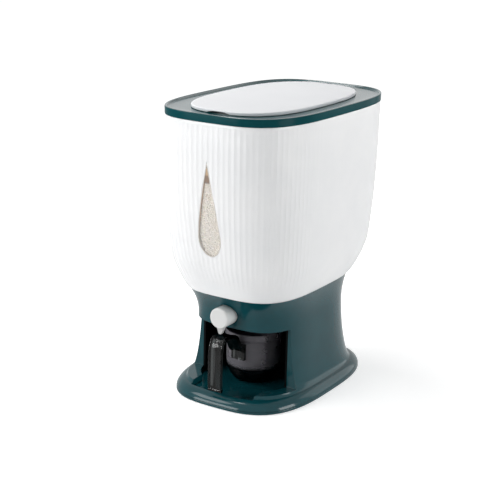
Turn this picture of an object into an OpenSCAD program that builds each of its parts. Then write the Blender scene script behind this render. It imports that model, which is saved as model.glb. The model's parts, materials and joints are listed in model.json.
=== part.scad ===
// Countertop rice dispenser: a fluted tank with a flip-top lid stands on a base
// with an alcove, where a measuring cup catches what the push knob lets out.
// All sizes are in millimetres, the front faces -Y, and the floor is at zero.

/* [Overall] */
// Width of the lid, side to side
lid_w = 200; // [196:1:206]
// Length of the lid, front to back
lid_l = 320; // [314:1:330]
// Height from the floor to the top of the flip cover
total_h = 385; // [383:1:400]
// Height of the base, from the floor to the tank
base_h = 145; // [144:1:156]

/* [Tank] */
// Thickness of the tank wall
tank_wall = 3; // [2.5:0.1:3.5]
// Width of the tank where it meets the base
seam_w = 163; // [158:1:168]
// Length of the tank where it meets the base
seam_l = 232; // [226:1:238]
// How far the foot of the tank lies forward of the middle
seam_shift = 6; // [3:1:8]
// Inward lean of each side wall, top to bottom
side_lean = 3.5; // [2:0.5:6]
// Inward lean of the front wall, top to bottom
front_lean = 30; // [26:1:32]
// Inward lean of the rear wall, top to bottom
rear_lean = 35; // [30:1:38]
// Height of the rounded bottom edge of the tank
tank_round_h = 46; // [38:1:52]
// Distance between two grooves on the front
flute_pitch = 7.6; // [7:0.1:8]
// Width of one groove
flute_groove = 3; // [2:0.1:4]
// Depth of one groove
flute_depth = 0.8; // [0.4:0.1:1.2]
// Number of grooves on each side of the front centre
flute_count = 23; // [16:1:24]

/* [Window] */
// Width of the drop-shaped window
window_w = 33.6; // [28:0.4:38]
// Share of the height of the tank wall that the window takes
window_share = 0.535; // [0.4:0.005:0.56]
// Height of the lowest point of the window above the seam
window_lift = 59; // [56:1:66]
// Width of the seal round the window
window_seal_w = 1.2; // [0.9:0.1:2]
// Thickness of the window
lens_t = 2; // [1.6:0.1:2.4]

/* [Lid] */
// Height of the green band of the lid frame
band_h = 10.2; // [9.6:0.2:12]
// Width of the flip cover
cover_w = 150; // [146:1:156]
// Length of the flip cover
cover_l = 268; // [264:1:272]
// Thickness of the flip cover
cover_t = 4.1; // [3.6:0.1:4.6]
// Width of the filling hole under the flip cover
hole_w = 130; // [118:1:134]
// Length of the filling hole under the flip cover
hole_l = 218; // [200:1:222]
// Diameter of the hinge pin
hinge_pin_d = 2.6; // [2:0.2:3]
// Width of the finger notch in the flip cover
notch_w = 36; // [28:1:44]

/* [Base] */
// Width of the foot
foot_w = 194; // [188:1:198]
// Length of the foot
foot_l = 276; // [270:1:282]
// Width of the neck at its waist
waist_w = 146.6; // [143.6:0.2:152]
// Length of the neck at its waist
waist_l = 209; // [208:1:214]
// Height of the flare between the waist and the tank
crown_h = 40; // [36:1:46]
// Height of the rounded slab that the neck grows out of
slab_h = 16; // [14.5:0.5:17.5]
// Thickness of the neck wall
base_wall = 3.2; // [2.8:0.1:3.6]
// Thickness of the deck that carries the tank
deck_t = 4; // [3.5:0.5:5]
// Thickness of the bottom plate
plate_t = 4; // [3.5:0.5:4.5]
// Gap that the rubber feet keep between the bottom plate and the floor
foot_gap = 1; // [0.5:0.1:1.5]
// Diameter of each rubber foot
pad_d = 18; // [14:1:24]

/* [Alcove] */
// Height of the header between the alcove opening and the tank
header_h = 45; // [44:0.5:46]
// Distance of the cut front of the neck from the middle
alcove_front = 65; // [62:1:70]
// Depth of the alcove behind its cut front
alcove_depth = 89; // [84:1:98]
// Height of the alcove floor
floor_h = 12; // [11:0.5:12.5]
// Height of the ledge that is left round the alcove floor
ledge_h = 20; // [18.5:0.5:23]
// Width of the recess that the cup slides out through
recess_w = 98; // [90:1:104]
// Distance of the front of the recess from the middle
recess_front = 124; // [120:1:126]

/* [Dispensing] */
// Diameter of the push knob
knob_d = 27; // [25:0.5:29]
// Length of the knob that stands out of the neck
knob_reach = 22; // [20:0.5:24]
// Depth of the knob axis below the tank
knob_drop = 26.5; // [25:0.5:27]
// Travel of the knob
knob_travel = 14; // [12:0.5:14]
// Diameter of the push rod
rod_d = 8; // [6:0.5:9]
// Inner diameter of the outlet of the funnel
outlet_d = 31; // [29:0.5:32]
// Distance of the outlet in front of the middle
outlet_front = 42; // [40:0.5:43]
// Length of the gate opening along the travel
gate_slot_l = 12; // [9:0.5:12]
// Width of the gate opening
gate_slot_w = 27; // [20:0.5:27]

/* [Cup] */
// Diameter of the cup rim
cup_d = 76; // [70:1:80]
// Free height between the cup and the outlet spout
pour_gap = 14; // [12:0.5:20]
// Thickness of the cup wall
cup_wall = 2; // [1.5:0.1:2.4]
// Distance of the cup centre in front of the middle
cup_front = 43; // [41:0.5:45]
// Width of the cup handle
handle_w = 20; // [17:0.5:22]
// Distance from the cup centre to the middle of the hanging grip
handle_reach = 91; // [91:2:93]

/* [Fits] */
// Gap between pieces that are lifted or moved apart
part_gap = 0.35; // [0.3:0.05:0.45]
// Gap between pieces that are fixed together
seat_gap = 0.2; // [0.1:0.05:0.25]
// Running clearance round a pin or a rod, on the radius
run_gap = 0.08; // [0.05:0.01:0.1]

/* [Hidden] */
$fn = 64;
over = 1; // overrun of every cut

// Number of points round a lofted shell, and round the smooth part of the tank
ring_points = 72;
smooth_points = 48;
arc_steps = 360;

// Squareness of the outlines: two is an ellipse, and more is squarer
rim_power = 3.57;
seam_power = 3.45;
waist_power = 3.45;
foot_power = 3.1;
cover_power = 2.9;

// Powers and shares of the side profiles
lean_power = 2.87;
round_power = 1.5;
shoulder_power = 1.6;
flare_power = 1.7;
crown_power = 2;
slab_share = 0.58;
round_shares = [0, 0.02, 0.08, 0.2, 0.38, 0.62, 1];
inner_wall_shares = [0.7, 0.35, 0];
inner_round_shares = [0.7, 0.38, 0.15];
wall_shares = [0.15, 0.32, 0.5, 0.7, 0.87];
shoulder_shares = [0, 0.35, 0.65, 0.88, 1];
flare_shares = [0.03, 0.1, 0.22, 0.4, 0.65, 1];
crown_shares = [0.35, 0.7, 1];

// Levels of the lid, the tank and the base
cover_rise = 1.9;
seam_z = base_h;
rim_top = total_h - cover_rise;
rim_low = rim_top - band_h;
window_h = window_share * (rim_low - seam_z);
waist_h = seam_z - crown_h;
alcove_top = seam_z - header_h;
knob_h = seam_z - knob_drop;
deck_low = seam_z - deck_t;
plate_top = foot_gap + plate_t;
cover_low = total_h - cover_t;
ledge_top = cover_low - part_gap;
frame_t = 2.6;
frame_low = ledge_top - frame_t;

// Tank rim: the band stands a little proud, and a collar goes up inside it
band_step = 0.6;
band_wall = 2.4;
collar_w = 2.5;
collar_inset = band_wall + part_gap - band_step;
lid_seal_t = 1;
collar_top = frame_low - lid_seal_t;
plain_band = 4;
flute_fade = 5;
rim_hw = lid_w / 2 - band_step;
rim_hl = lid_l / 2 - band_step;

// Window: the drop is widest at this share of its height
drop_share = 0.2;
drop_power = 1.25;
drop_rows = 18;
drop_row_power = 1.7;
drop_tip_draw = 4.6;
drop_min = 0.4;
lens_sink = 0.5;
lens_columns = 6;

// Tank floor, bosses, funnel and outlet
boss_d = 10;
boss_h = 10;
boss_x = 50;
boss_front = 82;
boss_rear = 74;
screw_d = 3.5;
screw_head_d = 7;
screw_head_h = 2.4;
screw_slack = 0.3;
funnel_drop = 6;
funnel_wall = 2;
funnel_top = seam_z + window_lift - funnel_drop;
funnel_lap = 0.4;
funnel_shares = [0, 0.3, 0.6, 0.85, 1];
spigot_r = outlet_d / 2 + 3;
spigot_l = 12;
flange_w = 6;
flange_t = 2;
seal_w = 5;
seal_t = 2;

// Liner of the alcove
liner_t = 2.5;
liner_rise = 0.5;

// Gate, its housing and the push rod
housing_wall = 2.2;
gate_t = 4;
gate_w = 38;
gate_lap = 6;
gate_slack = 0.3;
ear_w = 10;
ear_t = 4;
ear_front = 52;
ear_rear = 24;
housing_screw_d = 3;
housing_screw_head_d = 5.6;
spout_t = 4;
spout_w = 44;
spout_l = 24;
spout_wall = 2.5;
spout_drop = 3;
spout_low = alcove_top - spout_drop;
spout_gap = 1;
housing_low = alcove_top + liner_rise + liner_t + spout_gap + spout_t;
housing_side = 6.6;
housing_back = 1;
housing_w = gate_w + 2 * gate_slack + 2 * housing_side;
bush_wall = 1.2;
bush_l = 11;
bush_flange_t = 3;
bush_clear = 0.4;
bush_rim = 0.5;
lug_l = 7;
lug_w = 16;
lug_h = 15;
clip_t = 1;
clip_w = 2.5;
clip_groove = 1;
rod_end = 1;
stop_gap = 0.3;
knob_wall = 3;
knob_front_wall = 4;
knob_round = 2;
knob_slack = 0.9;
tongue_w = 11;
tongue_tip_w = 4;
tongue_l = 5;
tongue_drop = 8.5;
tongue_inset = 4;
wire_d = 1.2;
spring_d = 15;
spring_turns = 7;
spring_steps = 12;
wire_sides = 6;

// Outlines of the base and the lid: [half width, half length, middle, power]
foot_oval = [foot_w / 2, foot_l / 2, 0, foot_power];
waist_oval = [waist_w / 2, waist_l / 2, 0, waist_power];
crown_oval = [seam_w / 2 - band_step, seam_l / 2 - band_step, -seam_shift, seam_power];

// Neck face and the places along the push axis, as distances in front of the middle
neck_inner_front = waist_l / 2 - base_wall;
neck_front = -base_front(knob_h);
knob_face = neck_front + knob_reach;
bush_front = neck_inner_front - bush_clear;
bush_seat = bush_front - bush_l;
bush_rear = bush_seat - bush_flange_t;
knob_rear = bush_seat + knob_travel + knob_slack;
lug_front = bush_rear - stop_gap;
lug_rear = lug_front - lug_l;
clip_rear = lug_rear - clip_t;
housing_front = outlet_front + spigot_r + seat_gap + housing_wall;
gate_rear = outlet_front - gate_slot_l / 2 - gate_lap;
slot_rear = gate_rear - knob_travel - 2 * stop_gap;
housing_rear = slot_rear - housing_wall - housing_back;

// Lid hinge: the pin lies near the rear edge of the flip cover
cover_hw = cover_w / 2;
cover_hl = cover_l / 2;
cover_shift = 2;
cover_edge = 2;
hinge_inset = 6;
hinge_y = cover_hl - cover_shift - hinge_inset;
knuckle_r = 3;
hinge_z = cover_low - knuckle_r;
knuckle_l = 50;
trough_gap = 0.4;
trough_r = norm([hinge_inset, knuckle_r + cover_t]) + trough_gap;
trough_wall = 2;
ear_gap = 0.5;
ear_r = 2.6;
ear_web = 1.2;
hinge_ear_t = 4;
trough_side = 14;
trough_l = knuckle_l + 2 * ear_gap + 2 * hinge_ear_t + 2 * trough_side;
pin_l = knuckle_l + 2 * ear_gap + 2 * hinge_ear_t;
plug_wall = 2.4;
plug_h = 5.5;
cover_seal_t = 1.6;
cover_seal_w = 1.2;
frame_lip_w = 3;
frame_lip_h = 4;

// Lid frame: rounding of its lip, and the lip's width
lip_edge = 1.1;
lip_w = 3.4;

// Base details
cavity_inset = 7;
floor_t = 4;
groove_h = 0.4;
groove_in = 1;
plate_boss_d = 9;
plate_shares = [[0.7, 0.74], [-0.7, 0.74], [0.8, 0], [-0.8, 0], [0.7, -0.74], [-0.7, -0.74]];
pad_shares = [[0.56, 0.62], [-0.56, 0.62], [0.56, -0.62], [-0.56, -0.62]];
pad_stud_d = 8;
pad_stud_h = 2;
screw_bite = 5;

// Cup and handle, as shares of the cup's radius and height
cup_shares = [[0.62, 0], [0.7, 0.015], [0.82, 0.09], [0.91, 0.22], [0.945, 0.4], [0.945, 0.86], [1, 0.88], [1, 1]];
cup_body_share = 0.945;
handle_path_shares = [
    [-0.08, 0.69], [0.12, 0.72], [0.228, 0.9], [0.383, 1.08], [0.66, 1.12], [0.892, 1.11],
    [0.985, 0.98], [0.992, 0.75], [1, 0.45], [1, 0.2], [0.977, 0.13]
];
handle_t = 3;
handle_edge_t = 5;
handle_edge_w = 2.2;
handle_steps = 4;
pad_h_share = 0.3;
pad_low_share = 0.52;
pad_reach = 3;

// Blend of two values or lists
function mix(from, to, share) = from + (to - from) * share;
function clamp01(v) = min(1, max(0, v));

// A quarter arc from nought to one: flat at the start and steep at the end
function arc_share(v, power) = 1 - pow(1 - pow(clamp01(v), power), 1 / power);

// An oval is [half width, half length, middle, power]; the angle is measured from +X
function oval_radius(oval, inset, turn) =
    pow(
        pow(abs(cos(turn)) / (oval[0] - inset), oval[3]) + pow(abs(sin(turn)) / (oval[1] - inset), oval[3]),
        -1 / oval[3]
    );
function oval_point(oval, inset, turn, z) =
    let (reach = oval_radius(oval, inset, turn)) [reach * cos(turn), oval[2] + reach * sin(turn), z];

// Table of [distance along the outline from the front centre, angle]
function outline_table(oval) =
    let (
        step = 360 / arc_steps,
        spots = [for (i = [0:arc_steps]) oval_point(oval, 0, i * step - 90, 0)],
        steps = [for (i = [0:arc_steps]) i == 0 ? 0 : norm(spots[i] - spots[i - 1])]
    )
    [for (i = 0, s = 0; i <= arc_steps; i = i + 1, s = s + (i <= arc_steps ? steps[i] : 0)) [s, i * step - 90]];
function even_turns(oval, count, lead_share = 0) =
    let (table = outline_table(oval), length = table[arc_steps][0])
    [for (i = [0:count - 1]) lookup((i + lead_share) * length / count, table)];

// One ring of points
function oval_ring(oval, inset, turns, z) = [for (turn = turns) oval_point(oval, inset, turn, z)];

// Tank outline at a height
function tank_oval(z) =
    let (
        down = clamp01((rim_low - z) / (rim_low - seam_z)),
        lean = pow(down, lean_power),
        bend = arc_share((seam_z + tank_round_h - z) / tank_round_h, round_power),
        half_w = mix(rim_hw - side_lean * lean, seam_w / 2, bend),
        front = mix(front_lean * lean - rim_hl, -seam_shift - seam_l / 2, bend),
        rear = mix(rim_hl - rear_lean * lean, seam_l / 2 - seam_shift, bend)
    )
    [half_w, (rear - front) / 2, (rear + front) / 2, mix(rim_power, seam_power, bend)];
function tank_front(x, z) =
    let (oval = tank_oval(z))
    oval[2] - oval[1] * pow(1 - pow(abs(x) / oval[0], oval[3]), 1 / oval[3]);

// Base outline at a height
function shoulder_at(z) =
    let (up = clamp01((z - plate_top) / (slab_h - plate_top)))
    mix(slab_share, 1, pow(1 - pow(up, shoulder_power), 1 / shoulder_power));
function flare_at(z) = slab_share * arc_share(1 - (z - slab_h) / (waist_h - slab_h), flare_power);
function base_oval(z) =
    z <= slab_h ? mix(waist_oval, foot_oval, shoulder_at(z))
    : z <= waist_h ? mix(waist_oval, foot_oval, flare_at(z))
    : mix(waist_oval, crown_oval, pow((z - waist_h) / (seam_z - waist_h), crown_power));
function base_front(z) = let (oval = base_oval(z)) oval[2] - oval[1];

// Faces between rings that hold the same number of points, from the first ring to the last
function band_faces(first, count, rings) = [
    for (i = [0:rings - 2], j = [0:count - 1], half = [0, 1])
        let (a = first + i * count + j, b = first + i * count + (j + 1) % count)
        half == 0 ? [a, b + count, b] : [a, a + count, b + count]
];
function fan_faces(first, count, centre, flip) = [
    for (j = [0:count - 1])
        let (a = first + j, b = first + (j + 1) % count)
        flip ? [b, a, centre] : [a, b, centre]
];
function centre_of(ring) = let (n = len(ring), all = [for (i = [0:n - 1]) 1]) (all * ring) / n;
function joined(rings) = [for (ring = rings, p = ring) p];

// A closed solid through a stack of rings, capped at both ends
module loft(rings) {
    count = len(rings[0]);
    last = len(rings) - 1;
    total = count * len(rings);
    polyhedron(
        points = concat(joined(rings), [centre_of(rings[0]), centre_of(rings[last])]),
        faces = concat(
            band_faces(0, count, len(rings)),
            fan_faces(0, count, total, false),
            fan_faces(last * count, count, total + 1, true)
        )
    );
}

// A closed hoop through rings that run round its cross-section
module hoop(rings) {
    count = len(rings[0]);
    last = (len(rings) - 1) * count;
    polyhedron(
        points = joined(rings),
        faces = concat(
            band_faces(0, count, len(rings)),
            [
                for (j = [0:count - 1], half = [0, 1])
                    let (a = last + j, b = last + (j + 1) % count)
                    half == 0 ? [a, b - last, b] : [a, a - last, b - last]
            ]
        )
    );
}

// Flat outlines
module oval_2d(oval, inset) {
    polygon([
        for (turn = even_turns(oval, ring_points, 1 / 2))
            let (p = oval_point(oval, inset, turn, 0)) [p[0], p[1]]
    ]);
}
module oval_hoop(oval, inset, width, low, height) {
    translate([0, 0, low]) linear_extrude(height) difference() {
        oval_2d(oval, inset);
        oval_2d(oval, inset + width);
    }
}
module oval_plate(oval, inset, low, high) {
    translate([0, 0, low]) linear_extrude(high - low) oval_2d(oval, inset);
}

// A box given by its lowest and highest corners
module block(low, high) {
    translate(low) cube(high - low);
}

// Turns +Z to the front, with the axis of the push knob at zero
module to_front(reach) {
    translate([0, -reach, knob_h]) rotate([90, 0, 0]) children();
}
module front_tube(from, reach, outer_r, inner_r) {
    to_front(from) difference() {
        cylinder(h = reach - from, r = outer_r);
        translate([0, 0, -over]) cylinder(h = reach - from + 2 * over, r = inner_r);
    }
}

// A pan-head screw that points up, with a hexagon socket; its head bears at z = 0
module screw(d, head_d, head_h, length) {
    difference() {
        union() {
            translate([0, 0, -head_h]) cylinder(h = head_h, d = head_d);
            cylinder(h = length, d = d);
        }
        translate([0, 0, -head_h - over]) cylinder(h = head_h / 2 + over, d = head_d / 2, $fn = 6);
    }
}

// Places of the screws between deck and tank, and under the valve housing
tank_screw_places = [
    [boss_x, -boss_front], [-boss_x, -boss_front], [boss_x, boss_rear], [-boss_x, boss_rear]
];
housing_screw_x = housing_w / 2 + ear_w / 2;
housing_screw_places = [
    [housing_screw_x, -ear_front], [-housing_screw_x, -ear_front],
    [housing_screw_x, -ear_rear], [-housing_screw_x, -ear_rear]
];
module at_places(places, z) {
    for (place = places) translate([place[0], place[1], z]) children();
}
function foot_places(shares) = [for (s = shares) [s[0] * foot_w / 2, s[1] * foot_l / 2]];

// Tank: the turns of its outline, and the groove that each one has
rim_oval = [rim_hw, rim_hl, 0, rim_power];
rim_table = outline_table(rim_oval);
rim_length = rim_table[arc_steps][0];
flute_reach = flute_count * flute_pitch;
function wrapped(s) = s < 0 ? s + rim_length : s;
flute_spots = [
    for (i = [-flute_count:flute_count - 1], part = [0:3])
        let (middle = (i + 1 / 2) * flute_pitch)
        part == 0 ? [middle - flute_pitch / 2, 0]
        : part == 1 ? [middle - flute_groove / 2, 0]
        : part == 2 ? [middle, clamp01((flute_reach - abs(middle)) / (flute_fade * flute_pitch))]
        : [middle + flute_groove / 2, 0]
];
smooth_spots = [
    for (i = [0:smooth_points - 1])
        [flute_reach + i * (rim_length - 2 * flute_reach) / smooth_points, 0]
];
tank_spots = concat(flute_spots, smooth_spots);
tank_turns = [for (spot = tank_spots) lookup(wrapped(spot[0]), rim_table)];
inner_turns = [for (i = [0:2:len(tank_turns) - 1]) tank_turns[i]];
function fluted_ring(z, depth) = [
    for (i = [0:len(tank_turns) - 1])
        oval_point(tank_oval(z), tank_spots[i][1] * depth, tank_turns[i], z)
];
flute_top = rim_low - plain_band;
round_top = seam_z + tank_round_h;
module tank_body() {
    outer = concat(
        [for (s = round_shares) fluted_ring(seam_z + s * tank_round_h, s * flute_depth)],
        [for (s = wall_shares) fluted_ring(mix(round_top, flute_top, s), flute_depth)],
        [fluted_ring(flute_top, 0), fluted_ring(rim_low, 0)]
    );
    thick = collar_inset + collar_w;
    inner = concat(
        [
            oval_ring(rim_oval, collar_inset, inner_turns, rim_low),
            oval_ring(rim_oval, collar_inset, inner_turns, collar_top),
            oval_ring(rim_oval, thick, inner_turns, collar_top),
            oval_ring(rim_oval, thick, inner_turns, rim_low - 2 * plain_band),
            oval_ring(tank_oval(rim_low - 5 * plain_band), tank_wall, inner_turns, rim_low - 5 * plain_band)
        ],
        [
            for (s = inner_wall_shares)
                let (z = mix(funnel_top, flute_top, s)) oval_ring(tank_oval(z), tank_wall, inner_turns, z)
        ],
        [
            for (s = inner_round_shares)
                let (z = seam_z + s * tank_round_h) oval_ring(tank_oval(z), tank_wall, inner_turns, z)
        ],
        [oval_ring(tank_oval(seam_z + tank_wall), tank_wall, inner_turns, seam_z + tank_wall)]
    );
    count = len(tank_turns);
    half = len(inner_turns);
    shelf = (len(outer) - 1) * count;
    start = len(outer) * count;
    end = start + (len(inner) - 1) * half;
    total = start + len(inner) * half;
    polyhedron(
        points = concat(joined(outer), joined(inner), [centre_of(outer[0]), centre_of(inner[len(inner) - 1])]),
        faces = concat(
            band_faces(0, count, len(outer)),
            [
                for (j = [0:half - 1], part = [0:2])
                    let (
                        a = shelf + 2 * j, b = a + 1, c = shelf + (2 * j + 2) % count,
                        d = start + j, e = start + (j + 1) % half
                    )
                    part == 0 ? [a, d, b] : part == 1 ? [b, d, e] : [b, e, c]
            ],
            band_faces(start, half, len(inner)),
            fan_faces(0, count, total, false),
            fan_faces(end, half, total + 1, true)
        )
    );
}

// Drop-shaped window, drawn in by an inset
function drop_low(inset) = seam_z + window_lift + inset;
function drop_high(inset) = seam_z + window_lift + window_h - inset * drop_tip_draw;
function drop_half(share, inset) =
    (window_w / 2 - inset) * (
        share < drop_share ? sqrt(max(0, 1 - pow(1 - share / drop_share, 2)))
        : 1 - pow((share - drop_share) / (1 - drop_share), drop_power)
    );
drop_steps = [for (i = [0:drop_rows]) pow(i / drop_rows, drop_row_power)];

// Share of its height at which the tip of a drop gets too thin to mould
function drop_end(inset) =
    drop_share + (1 - drop_share) * pow(1 - drop_min / (window_w / 2 - inset), 1 / drop_power);
module drop_2d(inset) {
    right = [for (s = drop_steps) [drop_half(s, inset), mix(drop_low(inset), drop_high(inset), s)]];
    left = [for (i = [drop_rows - 1:-1:1]) [-right[i][0], right[i][1]]];
    polygon(concat(right, left));
}
module drop_cut(inset) {
    translate([0, -seam_l / 2, 0]) rotate([90, 0, 0]) linear_extrude(lid_l / 2) drop_2d(inset);
}
module drop_sheet(inset, sink, thick) {
    rows = [
        for (step = drop_steps)
            let (
                s = min(step, drop_end(inset)),
                z = mix(drop_low(inset), drop_high(inset), s),
                half = max(drop_min, drop_half(s, inset))
            )
            concat(
                [
                    for (i = [0:lens_columns])
                        let (x = half * (2 * i / lens_columns - 1)) [x, tank_front(x, z) + sink, z]
                ],
                [
                    for (i = [lens_columns:-1:0])
                        let (x = half * (2 * i / lens_columns - 1)) [x, tank_front(x, z) + sink + thick, z]
                ]
            )
    ];
    loft(rows);
}

module tank_shell() {
    color("white") difference() {
        union() {
            tank_body();
            at_places(tank_screw_places, seam_z + tank_wall / 2) cylinder(h = boss_h + tank_wall / 2, d = boss_d);
        }
        drop_cut(0);
        translate([0, -outlet_front, seam_z - over]) cylinder(h = tank_wall + 2 * over, r = spigot_r + seat_gap);
        at_places(tank_screw_places, seam_z - over) cylinder(h = boss_h + over, d = screw_d);
    }
}

module window_seal() {
    color("lightgray") difference() {
        drop_sheet(seat_gap / 2, lens_sink / 2, lens_t + lens_sink / 2);
        drop_cut(window_seal_w);
    }
}

module window_lens() {
    color("burlywood", 0.5) drop_sheet(window_seal_w + seat_gap / 2, lens_sink, lens_t);
}

module hopper_funnel() {
    top_oval = tank_oval(funnel_top);
    end_r = outlet_d / 2 + funnel_wall - funnel_lap;
    end_oval = [end_r, end_r, -outlet_front, 2];
    low = seam_z + tank_wall + flange_t;
    turns = even_turns(top_oval, ring_points, 1 / 2);
    inset = tank_wall + 2 * seat_gap;
    rim = [top_oval[0] - inset, top_oval[1] - inset, top_oval[2], top_oval[3]];
    last = len(funnel_shares) - 1;
    color("whitesmoke") difference() {
        union() {
            hoop(concat(
                [
                    for (i = [last:-1:0])
                        let (s = funnel_shares[i])
                        oval_ring(mix(rim, end_oval, s), 0, turns, mix(funnel_top, low, s))
                ],
                [
                    for (s = funnel_shares)
                        oval_ring(mix(rim, end_oval, s), funnel_wall, turns, mix(funnel_top, low, s) + s * funnel_lap)
                ]
            ));
            translate([0, -outlet_front, seam_z - spigot_l])
                cylinder(h = low + over - seam_z + spigot_l, r = spigot_r);
            translate([0, -outlet_front, seam_z + tank_wall]) cylinder(h = flange_t, r = spigot_r + flange_w);
        }
        translate([0, -outlet_front, seam_z - spigot_l - over])
            cylinder(h = spigot_l + 4 * tank_wall, d = outlet_d);
    }
}

module outlet_seal() {
    color("gainsboro") translate([0, -outlet_front, seam_z - seal_t]) difference() {
        cylinder(h = seal_t, r = spigot_r + seal_w);
        translate([0, 0, -over]) cylinder(h = seal_t + 2 * over, r = spigot_r + seat_gap);
    }
}

module tank_screws() {
    color("silver") at_places(tank_screw_places, deck_low)
        screw(screw_d - screw_slack, screw_head_d, screw_head_h, deck_t + screw_bite);
}

lid_oval = [lid_w / 2, lid_l / 2, 0, rim_power];
hole_oval = [hole_w / 2, hole_l / 2, -cover_shift, cover_power];
cover_oval = [cover_hw, cover_hl, -cover_shift, cover_power];
plug_inset = part_gap + cover_seal_w;
plug_oval = [hole_oval[0] - plug_inset, hole_oval[1] - plug_inset, hole_oval[2], hole_oval[3]];

module hinge_rod(r, length) {
    translate([-length / 2, hinge_y, hinge_z]) rotate([0, 90, 0]) cylinder(h = length, r = r);
}

module lid_frame() {
    turns = even_turns(lid_oval, ring_points);
    color("darkslategray") difference() {
        union() {
            hoop([
                oval_ring(lid_oval, band_wall, turns, frame_low),
                oval_ring(lid_oval, band_wall, turns, rim_low),
                oval_ring(lid_oval, 0, turns, rim_low),
                oval_ring(lid_oval, 0, turns, rim_top - lip_edge),
                oval_ring(lid_oval, lip_edge / 3, turns, rim_top - lip_edge / 3),
                oval_ring(lid_oval, lip_edge, turns, rim_top),
                oval_ring(lid_oval, lip_w - lip_edge, turns, rim_top),
                oval_ring(lid_oval, lip_w, turns, rim_top - lip_edge),
                oval_ring(lid_oval, lip_w + lip_edge, turns, ledge_top + lip_edge / 4),
                oval_ring(lid_oval, lip_w + 4 * lip_edge, turns, ledge_top),
                oval_ring(hole_oval, -frame_lip_w, turns, ledge_top),
                oval_ring(hole_oval, -frame_lip_w, turns, frame_low)
            ]);
            oval_hoop(hole_oval, -frame_lip_w - over / 2, frame_lip_w + over / 2, frame_low - frame_lip_h,
                frame_lip_h + frame_t);
            hinge_trough();
        }
        hinge_rod(trough_r, trough_l);
    }
    color("darkslategray") hinge_ears();
}

module hinge_trough() {
    intersection() {
        hinge_rod(trough_r + trough_wall, trough_l + 2 * trough_wall);
        block(
            [-lid_w, hinge_y - trough_r - trough_wall, hinge_z - trough_r - trough_wall],
            [lid_w, hinge_y + trough_r + trough_wall, ledge_top]
        );
    }
}

module hinge_ears() {
    for (side = [-1, 1]) translate([side * (knuckle_l / 2 + ear_gap + hinge_ear_t / 2), 0, 0]) difference() {
        union() {
            hinge_rod(ear_r, hinge_ear_t);
            block(
                [-hinge_ear_t / 2, hinge_y - ear_r, hinge_z - trough_r - trough_wall / 2],
                [hinge_ear_t / 2, hinge_y + ear_web, hinge_z]
            );
        }
        hinge_rod(hinge_pin_d / 2 + run_gap, trough_l + 2 * over);
    }
}

module lid_seal() {
    color("gainsboro") oval_hoop(rim_oval, collar_inset, collar_w, collar_top, lid_seal_t);
}

module hinge_pin() {
    color("silver") hinge_rod(hinge_pin_d / 2, pin_l);
}

module flip_cover() {
    turns = even_turns(cover_oval, ring_points);
    color("white") difference() {
        union() {
            loft([
                oval_ring(cover_oval, cover_edge / 2, turns, cover_low),
                oval_ring(cover_oval, 0, turns, cover_low + cover_edge / 2),
                oval_ring(cover_oval, 0, turns, total_h - cover_edge),
                oval_ring(cover_oval, cover_edge / 4, turns, total_h - cover_edge / 2.5),
                oval_ring(cover_oval, cover_edge, turns, total_h - cover_edge / 8),
                oval_ring(cover_oval, 3 * cover_edge, turns, total_h)
            ]);
            oval_hoop(plug_oval, 0, plug_wall, cover_low - plug_h, plug_h + cover_t / 2);
            hinge_rod(knuckle_r, knuckle_l);
            block(
                [-knuckle_l / 2, hinge_y - knuckle_r, hinge_z],
                [knuckle_l / 2, hinge_y + knuckle_r, cover_low + cover_t / 2]
            );
        }
        hinge_rod(hinge_pin_d / 2 + run_gap, knuckle_l + 2 * over);
        translate([0, -cover_hl - cover_shift, cover_low - notch_w / 2]) rotate([-90, 0, 0])
            cylinder(h = 4 * cover_edge, d = notch_w + cover_t);
    }
}

module cover_seal() {
    color("gainsboro")
        oval_hoop(plug_oval, -cover_seal_w, cover_seal_w, cover_low - plug_h + cover_seal_t, cover_seal_t);
}

module base_shell() {
    turns = even_turns(foot_oval, ring_points);
    levels = concat(
        [for (s = shoulder_shares) mix(plate_top, slab_h, s)],
        [for (s = flare_shares) mix(slab_h, waist_h, s)],
        [for (s = crown_shares) mix(waist_h, seam_z, s)]
    );
    bosses = foot_places(plate_shares);
    color("darkslategray") difference() {
        loft([for (z = levels) oval_ring(base_oval(z), 0, turns, z)]);
        oval_plate(waist_oval, base_wall, floor_h, deck_low);
        difference() {
            oval_plate(foot_oval, cavity_inset, plate_top - over, floor_h - floor_t);
            at_places(bosses, 0) cylinder(h = seam_z, d = plate_boss_d);
        }
        block([-foot_w, -foot_l, ledge_h], [foot_w, -alcove_front, alcove_top]);
        translate([0, 0, floor_h]) linear_extrude(ledge_h - floor_h + over) intersection() {
            translate([-recess_w / 2, -recess_front - over]) square([recess_w, recess_front - alcove_front / 2]);
            oval_2d([foot_w / 2, recess_front, 0, foot_power], 0);
        }
        to_front(neck_inner_front - over) cylinder(h = base_wall + knob_reach, d = knob_d + 2 * bush_rim);
        translate([0, -outlet_front, deck_low - over]) cylinder(h = deck_t + 2 * over, r = spigot_r + seat_gap);
        translate([0, -outlet_front, seam_z - seal_t]) cylinder(h = seal_t + over, r = spigot_r + seal_w + seat_gap);
        at_places(tank_screw_places, deck_low - over) cylinder(h = deck_t + 2 * over, d = screw_d + screw_slack);
        at_places(housing_screw_places, deck_low - over) cylinder(h = deck_t / 2 + over, d = housing_screw_d);
        at_places(bosses, plate_top - over) cylinder(h = screw_bite + over, d = screw_d);
    }
}

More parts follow.
